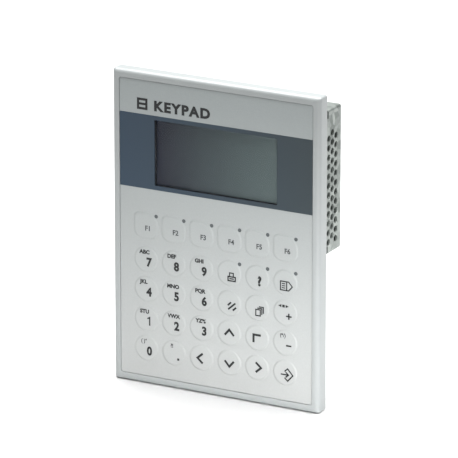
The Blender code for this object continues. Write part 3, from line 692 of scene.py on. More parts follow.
# the port's shell: warm, bright metal
PORT_STEEL = Finish("nickel-plated shell", "#c3c2bd", 0.28, 1.0)
# the port's face: satin black round its sockets
INSULATOR = Finish("black glass-filled polyester", "#1d1e20", 0.45)
# the power connector: bright green moulding with a satin face
TERMINAL = Finish("green polyamide", "#1f7a3d", 0.45)
# the plug's clamping screws: pale yellowish metal
BRASS = Finish("nickel-plated brass contact", "#b7b19a", 0.35, 1.0)
# the layer between foil and switches: plain white, seen only where the keys leave a gap
SPACER = Finish("white polyester spacer", "#d4d4cf", 0.55)
# the studio's floor: even, pale and without shine
PAPER = Finish("white studio paper", "#cfcfcf", 0.9)


# ---------------------------------------------------------------- front frame

@dataclass
class FrontFrame:
    """The painted casting: rounded border, foil pocket, floor, gasket groove, rear cavity."""

    round_over: float = 3.0 * MM
    round_steps: int = 10
    corner: float = 1.6 * MM
    pocket_side: float = 4.95 * MM
    pocket_end: float = 5.2 * MM
    pocket_corner: float = 1.8 * MM
    pocket_depth: float = 4.0 * MM
    lip: float = 0.3 * MM            # radius between the pocket's wall and the front
    lip_steps: int = 3
    floor: float = 2.0 * MM
    broken_edge: float = 0.25 * MM
    groove_outer: float = 2.4 * MM
    groove_inner: float = 5.6 * MM
    groove_depth: float = 1.5 * MM
    cavity_side: float = 11.5 * MM
    cavity_end: float = 9.5 * MM
    opening_margin: float = 0.3 * MM
    opening_corner: float = 0.6 * MM
    tail_half: tuple[float, float] = (12.6 * MM, 1.8 * MM)
    tail_corner: float = 0.4 * MM
    boss_radius: float = 2.9 * MM
    boss_end: float = 1.7 * MM
    boss_edge: float = 0.2 * MM
    bore_radius: float = 1.8 * MM
    bore_depth: float = 4.4 * MM
    cord_width: float = 2.6 * MM
    cord_round: float = 0.7 * MM     # radius of the cord's back edges
    cord_steps: int = 4
    box: Box = field(default_factory=lambda: Box.of("front_frame"))

    def border(self) -> list[tuple[Loop, float]]:
        """Return the outlines from the pocket's wall over the front to the cavity's wall.

        Returns:
            The outlines and their levels.
        """
        front = self.box.low.y
        out = self.box.outline
        rows = [(out(self.pocket_side, self.pocket_end, self.pocket_corner), front + self.pocket_depth)]
        for i in range(self.lip_steps + 1):
            angle = math.pi / 2 * i / self.lip_steps
            step = self.lip * (1 - math.cos(angle))
            rows.append((out(self.pocket_side - step, self.pocket_end - step, self.pocket_corner + step),
                         front + self.lip * (1 - math.sin(angle))))
        for i in range(self.round_steps + 1):
            angle = math.pi / 2 * i / self.round_steps
            inset = self.round_over * (1 - math.sin(angle))
            rows.append((out(inset, inset, self.corner), front + self.round_over * (1 - math.cos(angle))))
        edge, outer, inner = self.broken_edge, self.groove_outer, self.groove_inner
        rows += [
            (out(0, 0, self.corner), -edge),
            (out(edge, edge, self.corner), 0.0),
            (out(outer, outer, self.corner), 0.0),
            (out(outer, outer, self.corner), -self.groove_depth),
            (out(inner, inner, self.corner), -self.groove_depth),
            (out(inner, inner, self.corner), 0.0),
            (out(self.cavity_side - edge, self.cavity_end - edge, self.corner), 0.0),
            (out(self.cavity_side, self.cavity_end, self.corner), -edge),
            (out(self.cavity_side, self.cavity_end, self.corner), front + self.pocket_depth + self.floor),
        ]
        return rows

    def openings(self) -> list[Loop]:
        """Return what passes through the floor.

        Returns:
            The display's opening and the slot of the switch circuit's tail.
        """
        lcd = Box.of("lcd_frame")
        half_u, half_v = self.tail_half
        slot_z = Box.of("lcd_board").low.z - half_v
        return [lcd.outline(-self.opening_margin, -self.opening_margin, self.opening_corner, 3),
                rounded(lcd.centre.x, slot_z, 2 * half_u, 2 * half_v, self.tail_corner, 3)]

    def boss(self, node: str, foot: float) -> list[tuple[Loop, float]]:
        """Return the outlines of one screw's boss, from its foot over its top into its bore.

        Args:
            node: The CAD screw that goes into it.
            foot: The level of its foot.

        Returns:
            The outlines and their levels.
        """
        at = Box.of(node).centre
        return [(circle(at.x, at.z, radius), level) for radius, level in
                ((self.boss_radius, foot),
                 (self.boss_radius, self.boss_end - self.boss_edge),
                 (self.boss_radius - self.boss_edge, self.boss_end),
                 (self.bore_radius, self.boss_end),
                 (self.bore_radius, self.boss_end - self.bore_depth))]

    def build(self) -> None:
        """Make the frame and hand it over."""
        shell = Shell()
        rings = shell.tower(self.border())
        front = self.box.low.y + self.pocket_depth
        back = front + self.floor
        near, far = [], []
        for outline in self.openings():
            first, last = shell.tower([(outline, front), (outline, back)])
            near.append(first)
            far.append(last)
        for node in screw_nodes("tray") + screw_nodes("housing"):
            foot, *_, end = shell.tower(self.boss(node, back))
            far.append(foot)
            shell.cap(end)
        shell.cap(rings[0], *near)
        shell.cap(rings[-1], *far)
        adopt(shell.make("casting", [CASTING.build()]), "painted_casting", "front_frame")
        self.seal()

    def seal(self) -> None:
        """Make the gasket cord in its groove, with a rounded back."""
        cord = Box.of("panel_gasket")
        wide, soft, steps = self.cord_width, self.cord_round, self.cord_steps
        rows = [(cord.outline(0, 0, self.corner), cord.low.y),
                (cord.outline(0, 0, self.corner), cord.high.y - soft)]
        for i in range(1, steps + 1):
            angle = math.pi / 2 * i / steps
            step = soft * (1 - math.cos(angle))
            rows.append((cord.outline(step, step, self.corner), cord.high.y - soft * (1 - math.sin(angle))))
        for i in range(steps, -1, -1):
            angle = math.pi / 2 * i / steps
            step = wide - soft * (1 - math.cos(angle))
            rows.append((cord.outline(step, step, self.corner), cord.high.y - soft * (1 - math.sin(angle))))
        rows.append((cord.outline(wide, wide, self.corner), cord.low.y))
        shell = Shell()
        shell.tube(rows)
        adopt(shell.make("sealing_cord", [FOAM.build()]), "foam_gasket", "panel_gasket")


# ---------------------------------------------------------------- keys and foil

KEY_FLANGE = 1.0 * MM             # a key's rim reaches this far outside its visible edge


@dataclass(frozen=True)
class Key:
    """One key: its node's name, its middle and whether it is a squared function key."""

    name: str
    x: float
    z: float
    radius: float
    squared: bool
    corner_high: float = 3.4 * MM
    corner_low: float = 5.4 * MM
    reach_out: float = 0.8 * MM      # the embossing starts this far outside the key
    reach_in: float = 0.7 * MM       # and is at its full height this far inside
    rise: float = 0.5 * MM
    least_corner: float = 0.2 * MM
    round_sides: int = 64
    corner_steps: int = 14

    @classmethod
    def of(cls, node: str) -> Key:
        """Return the key of a CAD node."""
        box = Box.of(node)
        return cls(node, box.centre.x, box.centre.z, box.size.x / 2 - KEY_FLANGE, node.startswith("key_f"))

    @property
    def label(self) -> str:
        """The key's own name, without the node's prefix."""
        return self.name.removeprefix("key_")

    def outline(self, shift: float) -> Loop:
        """Return the key's outline.

        Args:
            shift: How far it is moved outwards.

        Returns:
            A circle, or for a function key a square with its own round corners.
        """
        radius = self.radius + shift
        if not self.squared:
            return circle(self.x, self.z, radius, self.round_sides)
        corners = [max(corner + shift, self.least_corner)
                   for corner in (self.radius, self.corner_high, self.corner_low, self.corner_low)]
        return rounded(self.x, self.z, 2 * radius, 2 * radius, corners, self.corner_steps)

    def height(self, shift: float) -> float:
        """Return how far the skin stands above the foil.

        Args:
            shift: Distance outside the key's outline.

        Returns:
            The height, which rises smoothly across the embossed edge.
        """
        share = (self.reach_out - shift) / (self.reach_out + self.reach_in)
        share = min(max(share, 0.0), 1.0)
        return self.rise * share * share * (3 - 2 * share)


KEYS = [Key.of(node) for node in sorted(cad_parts) if node.startswith("key_")]


class Ink(Enum):
    """What a legend is printed in."""

    DARK = INK
    GREY = GREY_INK


@dataclass(frozen=True)
class Lettering:
    """Generic characters: text, its middle from the key's middle and its capitals' height, in mm."""

    text: str
    x: float
    z: float
    height: float = 5.7
    weight: float = 0.046
    stretch: float = 0.92
    ink: Ink = Ink.DARK


@dataclass(frozen=True)
class Stroke:
    """A line of a symbol in mm: its points, its width, and whether it closes or is filled."""

    points: tuple[tuple[float, float], ...]
    width: float = 0.8
    closed: bool = False
    filled: bool = False
    sharpest: float = 0.4            # the least cosine that a corner's width is worked out with

    def outlines(self) -> list[Loop]:
        """Return the stroke's outline.

        Returns:
            One outline, or where the stroke closes its outer and its inner one.
        """
        if self.filled:
            return [list(self.points)]
        count = len(self.points)
        sides: list[Loop] = [[], []]
        for i, (x, z) in enumerate(self.points):
            here = Vector((x, z))
            ahead = Vector(self.points[(i + 1) % count]) - here if self.closed or i + 1 < count else None
            behind = here - Vector(self.points[i - 1]) if self.closed or i else None
            first = (behind or ahead).normalized()
            second = (ahead or behind).normalized()
            normal = Vector((-first.y - second.y, first.x + second.x)).normalized()
            reach = self.width / 2 / max(normal.dot(Vector((-first.y, first.x))), self.sharpest)
            sides[0].append(tuple(here + normal * reach))
            sides[1].append(tuple(here - normal * reach))
        return sides if self.closed else [sides[0] + sides[1][::-1]]


@dataclass(frozen=True)
class Symbol:
    """A drawn sign, with its middle from the key's middle in mm."""

    strokes: tuple[Stroke, ...]
    x: float
    z: float


def caps(text: str, x: float, z: float = 5.05) -> Lettering:
    """Return the small bold letters at a key's upper edge."""
    return Lettering(text, x, z, 2.6, 0.05, 1.04)


CHEVRON = ((-3.3, -1.9), (0.0, 1.9), (3.3, -1.9))
PRINTER = (Stroke(((-2.6, -2.5), (2.6, -2.5), (2.6, 0.2), (-2.6, 0.2)), 0.9, closed=True),
           Stroke(((-1.5, 0.3), (-1.5, 2.7), (1.2, 2.7), (1.2, 0.3)), 0.8),
           Stroke(((-1.6, -1.1), (1.6, -1.1)), 0.8))
LIST = (Stroke(((-4.2, -2.9), (0.2, -2.9), (0.2, 2.9), (-4.2, 2.9)), 0.8, closed=True),
        Stroke(((-3.2, 1.4), (-0.8, 1.4)), 0.7), Stroke(((-3.2, 0.0), (-0.8, 0.0)), 0.7),
        Stroke(((-3.2, -1.4), (-0.8, -1.4)), 0.7),
        Stroke(((0.6, 2.9), (1.6, 2.9), (4.2, 0.0), (1.6, -2.9), (0.6, -2.9)), 0.8))
BARS = (Stroke(((-3.1, 0.3), (-0.7, 2.6)), 1.15), Stroke(((-2.8, -2.3), (2.4, 2.3)), 1.15),
        Stroke(((0.5, -2.7), (2.9, -0.5)), 1.15))
PAGES = (Stroke(((-2.9, -2.9), (0.3, -2.9), (0.3, 1.1), (-2.9, 1.1)), 0.8, closed=True),
         Stroke(((-1.8, 2.1), (1.4, 2.1), (1.4, -2.0)), 0.8),
         Stroke(((-0.7, 3.1), (2.5, 3.1), (2.5, -1.1)), 0.8))
ENTER = (Stroke(((-1.7, 2.1), (0.5, 4.1), (4.2, 0.0), (0.5, -4.1), (-1.7, -2.1)), 0.9),
         Stroke(((-4.4, 0.0), (1.0, 0.0)), 0.9), Stroke(((-0.9, 1.7), (1.1, 0.0), (-0.9, -1.7)), 0.9))
JUMPS = (Stroke(((-3.8, 0.0), (-1.5, 1.0), (-1.5, -1.0)), filled=True),
         Stroke(((-0.9, -0.9), (0.9, -0.9), (0.9, 0.9), (-0.9, 0.9)), filled=True),
         Stroke(((3.8, 0.0), (1.5, -1.0), (1.5, 1.0)), filled=True))


def turned(points: Sequence[tuple[float, float]], quarters: int) -> tuple[tuple[float, float], ...]:
    """Turn points anticlockwise.

    Args:
        points: The points.
        quarters: How many quarter turns.

    Returns:
        The turned points.
    """
    for _ in range(quarters):
        points = tuple((-z, x) for x, z in points)
    return tuple(points)


LEGENDS: dict[str, tuple[Lettering | Symbol, ...]] = {
    **{f"key_{n}": (Lettering(n, 2.15, -1.45), caps(letters, x))
       for n, letters, x in (("7", "ABC", -1.0), ("8", "DEF", -1.3), ("9", "GHI", -1.4),
                             ("4", "JKL", -1.7), ("5", "MNO", -0.4), ("6", "PQR", -0.8),
                             ("2", "VWX", 0.0), ("3", "YZ%", -0.4))},
    "key_1": (Symbol((Stroke(((-1.3, 1.6), (0.35, 2.6), (0.35, -2.9)), 0.95),), 2.1, -1.45),
              caps("STU", -1.2)),
    **{f"key_f{n}": (Lettering(f"F{n}", 1.5, -1.5, 3.4, 0.025, 0.95, Ink.GREY),)
       for n in range(1, 7)},
    "key_0": (Lettering("0", 2.2, -1.4), Lettering("( )°", -1.7, 5.0, 2.6, 0.02)),
    "key_point": (Symbol((Stroke(((-0.75, -0.75), (0.75, -0.75), (0.75, 0.75), (-0.75, 0.75)),
                                 filled=True),), 3.2, -3.9),
                  Lettering("?!", -1.4, 4.9, 2.6, 0.03)),
    "key_up": (Symbol((Stroke(CHEVRON, 1.45),), 0.2, 0.4),),
    "key_left": (Symbol((Stroke(turned(CHEVRON, 1), 1.45),), -0.9, -0.3),),
    "key_down": (Symbol((Stroke(turned(CHEVRON, 2), 1.45),), 0.2, -0.6),),
    "key_right": (Symbol((Stroke(turned(CHEVRON, 3), 1.45),), 1.1, 0.3),),
    "key_home": (Symbol((Stroke(((-2.4, -3.0), (-2.4, 2.2), (2.8, 2.2)), 1.5),), 0.0, -0.2),),
    "key_enter": (Symbol(ENTER, 1.5, -1.2),),
    "key_print": (Symbol(PRINTER, 1.9, -2.3),),
    "key_help": (Lettering("?", 1.8, -1.7, 6.1, 0.055),),
    "key_list": (Symbol(LIST, 0.9, -2.1),),
    "key_lines": (Symbol(BARS, 2.2, -1.7),),
    "key_pages": (Symbol(PAGES, 2.1, -2.0),),
    "key_plus": (Symbol((Stroke(((-2.0, 0.0), (2.0, 0.0)), 1.0), Stroke(((0.0, 2.0), (0.0, -2.0)), 1.0)),
                        2.7, -2.1), Symbol(JUMPS, -1.1, 4.4)),
    "key_minus": (Symbol((Stroke(((-1.9, 0.0), (1.9, 0.0)), 1.0),), 2.7, -1.7),
                  Lettering("(*/)", -1.5, 5.0, 2.5, 0.02)),
}


@dataclass
class Printer:
    """Turns lettering and symbols into thin prints on the skin."""

    thickness: float = 0.03 * MM
    lift: float = 0.01 * MM          # the print's middle lies this far above the skin
    capital: float = 0.729           # a capital's height in the built-in font, as a share of its size
    curve_steps: int = 4

    def characters(self, mark: Lettering, spacing: float = 1.0) -> bpy.types.Mesh:
        """Return the mesh of some characters.

        Args:
            mark: The characters.
            spacing: Distance between them, as a share of the font's own.

        Returns:
            Their mesh about the origin, in metres, in the front's plane.
        """
        curve = bpy.data.curves.new(mark.text, "FONT")
        curve.body = mark.text
        curve.align_x = "CENTER"
        curve.size = 1.0
        curve.offset = mark.weight
        curve.space_character = spacing
        curve.resolution_u = self.curve_steps
        curve.extrude = 0.5
        item = bpy.data.objects.new(mark.text, curve)
        bpy.context.scene.collection.objects.link(item)
        bpy.context.view_layer.update()
        ready = item.evaluated_get(bpy.context.evaluated_depsgraph_get())
        data = bpy.data.meshes.new_from_object(ready)
        bpy.data.objects.remove(item, do_unlink=True)
        bpy.data.curves.remove(curve)
        scale = mark.height * MM / self.capital
        data.transform(Matrix.Translation((0, -self.capital / 2, 0)))
        data.transform(Matrix.Diagonal((scale * mark.stretch, scale, self.thickness, 1)))
        data.transform(Matrix.Rotation(math.pi / 2, 4, "X"))
        return data

    def print_on(self, mesh: bmesh.types.BMesh, mark: Lettering | Symbol, spacing: float = 1.0) -> list:
        """Add one mark about the origin, its middle at level 0.

        Args:
            mesh: The mesh to add it to.
            mark: The mark.
            spacing: Distance between characters, as a share of the font's own.

        Returns:
            The points of the mark.
        """
        before = set(mesh.verts)
        if isinstance(mark, Lettering):
            data = self.characters(mark, spacing)
            mesh.from_mesh(data)
            bpy.data.meshes.remove(data)
        else:
            half = self.thickness / 2
            part = Shell(mesh=mesh)
            for stroke in mark.strokes:
                loops = [[(x * MM, z * MM) for x, z in loop] for loop in stroke.outlines()]
                ends = [part.tower([(loop, -half), (loop, half)]) for loop in loops]
                part.cap(*[pair[0] for pair in ends])
                part.cap(*[pair[1] for pair in ends])
        return [point for point in mesh.verts if point not in before]


@dataclass
class Keypad:
    """The printed foil with its embossed keys, signal lamps and legends."""

    foil: Box = field(default_factory=lambda: Box.of("keypad_foil"))
    window: Box = field(default_factory=lambda: Box.of("display_window"))
    corner: float = 1.5 * MM
    window_corner: float = 0.5 * MM
    band_below: float = 2.85 * MM
    band_above: float = 2.9 * MM
    seam: float = 0.03 * MM
    lip_steps: int = 6
    shank_space: float = 0.3 * MM    # the foil's opening is this much wider than the key
    flange_thickness: float = 0.5 * MM
    cap_steps: int = 7
    crown: float = 0.03 * MM         # the cap's middle stands this far above its shoulder
    crown_rings: tuple[float, ...] = (0.3, 0.55, 0.8)
    lamp_radius: float = 1.25 * MM
    lamp_shift: tuple[float, float] = (7.3 * MM, 7.0 * MM)
    lamp_keys: tuple[str, ...] = ("key_print", "key_help", "key_list")
    # a lamp's lens from rim to top: radius as a share, and height in millimetres
    lamp_lens: tuple[tuple[float, float], ...] = ((1.0, -0.1), (1.0, 0.06), (0.9, 0.1), (0.6, 0.13),
                                                  (0.2, 0.14))
    head_rise: float = 9.6 * MM      # the head's print lies this far above the window
    mark_x: float = -52.4
    word_x: float = -23.9
    word_spacing: float = 1.2
    printer: Printer = field(default_factory=Printer)

    def build(self) -> None:
        """Make the foil, every key and every print."""
        self.make_foil()
        self.make_lamps()
        for key in KEYS:
            self.make_key(key)
            self.make_legend(key)
        self.make_emblem()

    def make_foil(self) -> None:
        """Make the foil: silver areas, the dark display band, and a raised lip round each key."""
        shell = Shell()
        front, back = self.foil.low.y, self.foil.high.y
        side = self.foil.high.x
        low, high = self.window.low.z - self.band_below, self.window.high.z + self.band_above
        edge = self.foil.outline(0, 0, self.corner)
        half, whole = len(edge) // 2, len(edge)
        outline = [*edge[:half], (-side, high), (-side, low), *edge[half:], (side, low), (side, high)]
        left_high, left_low, right_low, right_high = half, half + 1, whole + 2, whole + 3
        near, far = shell.tower([(outline, front), (outline, back)])
        pane = self.window.outline(-self.seam, -self.seam, self.window_corner, 3)
        pane_near, pane_far = shell.tower([(pane, front), (pane, back)], paint=1)
        holes_near, holes_far = [], []
        for key in KEYS:
            shifts = [key.reach_out + (self.seam - key.reach_out) * i / self.lip_steps
                      for i in range(self.lip_steps + 1)]
            rows = [(key.outline(shift), front - key.height(shift)) for shift in shifts]
            rows.append((key.outline(self.shank_space), back))
            rings = shell.tower(rows)
            holes_near.append(rings[0])
            holes_far.append(rings[-1])
        shell.cap([near[right_high], *near[:half], near[left_high]])
        shell.cap([near[right_high], near[left_high], near[left_low], near[right_low]], pane_near, paint=1)
        shell.cap([near[left_low], *near[left_low + 1:right_low], near[right_low]], *holes_near)
        shell.cap(far, pane_far, *holes_far)
        adopt(shell.make("printed_foil", [FOIL.build(), BAND.build()]), "printed_foil", "keypad_foil")

    def make_lamps(self) -> None:
        """Make the nine lamp windows as low lenses on the foil."""
        shell = Shell()
        front = self.foil.low.y
        for key in KEYS:
            if not (key.squared or key.name in self.lamp_keys):
                continue
            x, z = key.x + self.lamp_shift[0], key.z + self.lamp_shift[1]
            shell.solid([(circle(x, z, self.lamp_radius * share), front - rise * MM)
                         for share, rise in self.lamp_lens])
        adopt(shell.make("signal_lamps", [LAMP.build()]), "printed_foil")

    def make_key(self, key: Key) -> None:
        """Make one key: crowned cap, embossed edge, shank and the rim behind the foil."""
        back = Box.of(key.name).high.y
        level = self.foil.low.y
        flange = key.outline(KEY_FLANGE)
        rows = [(flange, back), (flange, back - self.flange_thickness),
                (key.outline(0), back - self.flange_thickness)]
        for i in range(self.cap_steps + 1):
            shift = -key.reach_in * i / self.cap_steps
            rows.append((key.outline(shift), level - key.height(shift) + self.crown))
        for share in self.crown_rings:
            rows.append((key.outline(-key.reach_in - share * (key.radius - key.reach_in)),
                         level - key.rise + self.crown * (1 - share)))
        shell = Shell()
        shell.solid(rows)
        adopt(shell.make(f"cap_{key.label}", [FOIL.build()]), "key_cap", key.name, body=key.name)

    def make_legend(self, key: Key) -> None:
        """Print a key's legends on its cap, following the embossed edge."""
        mesh = bmesh.new()
        inks: list[Ink] = []
        for mark in LEGENDS.get(key.name, ()):
            for point in self.printer.print_on(mesh, mark):
                point.co.x += mark.x * MM
                point.co.z += mark.z * MM
                reach = math.hypot(point.co.x, point.co.z) - key.radius
                drop = key.height(reach) if not key.squared else key.rise
                point.co.x += key.x
                point.co.z += key.z
                point.co.y += self.foil.low.y - drop - self.printer.lift
            inks.append(mark.ink if isinstance(mark, Lettering) else Ink.DARK)
        item = Shell(mesh=mesh).make(f"legend_{key.label}", [inks[0].value.build()])
        adopt(item, "key_cap", body=key.name)

    def make_emblem(self) -> None:
        """Print a plain square mark and a generic word in the head of the foil."""
        mesh = bmesh.new()
        ring = Symbol((Stroke(((-3.0, -3.0), (3.0, -3.0), (3.0, 3.0), (-3.0, 3.0)), 1.6, closed=True),
                       Stroke(((-2.4, 0.0), (2.4, 0.0)), 1.5)), 0, 0)
        word = Lettering("KEYPAD", 0, 0, 6.5, 0.05, 1.08)
        middle_z = self.window.high.z + self.head_rise
        for mark, x, spacing in ((ring, self.mark_x, 1.0), (word, self.word_x, self.word_spacing)):
            for point in self.printer.print_on(mesh, mark, spacing):
                point.co.x += x * MM
                point.co.z += middle_z
                point.co.y += self.foil.low.y - self.printer.lift
        adopt(Shell(mesh=mesh).make("head_print", [INK.build()]), "printed_foil")


# ---------------------------------------------------------------- display

@dataclass
class Display:
    """The clear window over the liquid-crystal display and its black steel frame."""

    pane: Box = field(default_factory=lambda: Box.of("display_window"))
    glass: Box = field(default_factory=lambda: Box.of("lcd_glass"))
    steel: Box = field(default_factory=lambda: Box.of("lcd_frame"))
    corner: float = 0.5 * MM
    ground_edge: float = 0.2 * MM    # the glass's front edge is ground this far
    glass_gap: float = 0.3 * MM
    bend: float = 0.5 * MM
    bend_steps: int = 3

    def outline(self, box: Box, inset: float) -> Loop:
        """Return a layer's outline, inset all round."""
        return box.outline(inset, inset, self.corner, 3)

    def build(self) -> None:
        """Make the three layers."""
        shell = Shell()
        shell.solid([(self.outline(self.pane, 0), self.pane.low.y),
                     (self.outline(self.pane, 0), self.pane.high.y)])
        adopt(shell.make("clear_pane", [PANE.build()]), "clear_window", "display_window")

        shell = Shell()
        shell.solid([(self.outline(self.glass, self.ground_edge), self.glass.low.y),
                     (self.outline(self.glass, 0), self.glass.low.y + self.ground_edge),
                     (self.outline(self.glass, 0), self.glass.high.y)])
        adopt(shell.make("display_glass", [LCD.build()]), "lcd_glass", "lcd_glass")

        shell = Shell()
        wall = (self.steel.size.x - self.glass.size.x) / 2 - self.glass_gap
        rows = [(self.outline(self.steel, 0), self.steel.high.y)]
        for i in range(self.bend_steps + 1):
            angle = math.pi / 2 * i / self.bend_steps
            step = self.bend * (1 - math.cos(angle))
            rows.append((self.outline(self.steel, step),
                         self.steel.low.y + self.bend * (1 - math.sin(angle))))
        rows += [(self.outline(self.steel, wall), self.steel.low.y),
                 (self.outline(self.steel, wall), self.steel.high.y)]
        shell.tube(rows)
        adopt(shell.make("display_steel", [LCD_STEEL.build()]), "display_frame", "lcd_frame")


# ---------------------------------------------------------------- sheet-steel rear

@dataclass
class RearTray:
    """The folded tray behind the frame, with the way through to the housing."""

    box: Box = field(default_factory=lambda: Box.of("rear_tray"))
    sheet: float = 1.0 * MM
    bend: float = 1.4 * MM
    bend_end: float = 0.3 * MM       # the flat's outline starts this far inside the bend
    way_corner: float = 1.0 * MM
    bore: float = 1.8 * MM
    bore_sides: int = 24
    steps: int = 5

    def wall(self, inset: float, bend: float, back: float) -> list[tuple[Loop, float]]:
        """Return one side of the sheet, from the tray's rim to its flat back.

        Args:
            inset: How far this side lies inside the tray's box.
            bend: This side's radius at the fold.
            back: The level of the flat.

        Returns:
            The outlines and their levels.
        """
        rows = [(self.box.outline(inset, inset, bend), self.box.low.y)]
        for i in range(self.steps + 1):
            angle = math.pi / 2 * i / self.steps
            step = inset + bend * (1 - math.cos(angle))
            rows.append((self.box.outline(step, step, bend), back - bend * (1 - math.sin(angle))))
        flat = inset + bend + self.bend_end
        rows.append((self.box.outline(flat, flat, bend), back))
        return rows

    def build(self) -> None:
        """Make the tray and hand it over."""
        back = self.box.high.y
        shell = Shell()
        outside = shell.tower(self.wall(0, self.bend, back))
        inside = shell.tower(self.wall(self.sheet, self.bend - self.sheet, back - self.sheet))
        shell.bridge(outside[0], inside[0])
        places = [Box.of(node).centre for node in screw_nodes("tray") + screw_nodes("housing")]
        holes = [Box.of("power_board").outline(0, 0, self.way_corner, 4),
                 *[circle(at.x, at.z, self.bore, self.bore_sides) for at in places]]
        near, far = [], []
        for outline in holes:
            first, last = shell.tower([(outline, back - self.sheet), (outline, back)])
            near.append(first)
            far.append(last)
        shell.cap(outside[-1], *far)
        shell.cap(inside[-1], *near)
        adopt(shell.make("folded_tray", [TRAY_STEEL.build()]), "zinc_coated_sheet", "rear_tray")


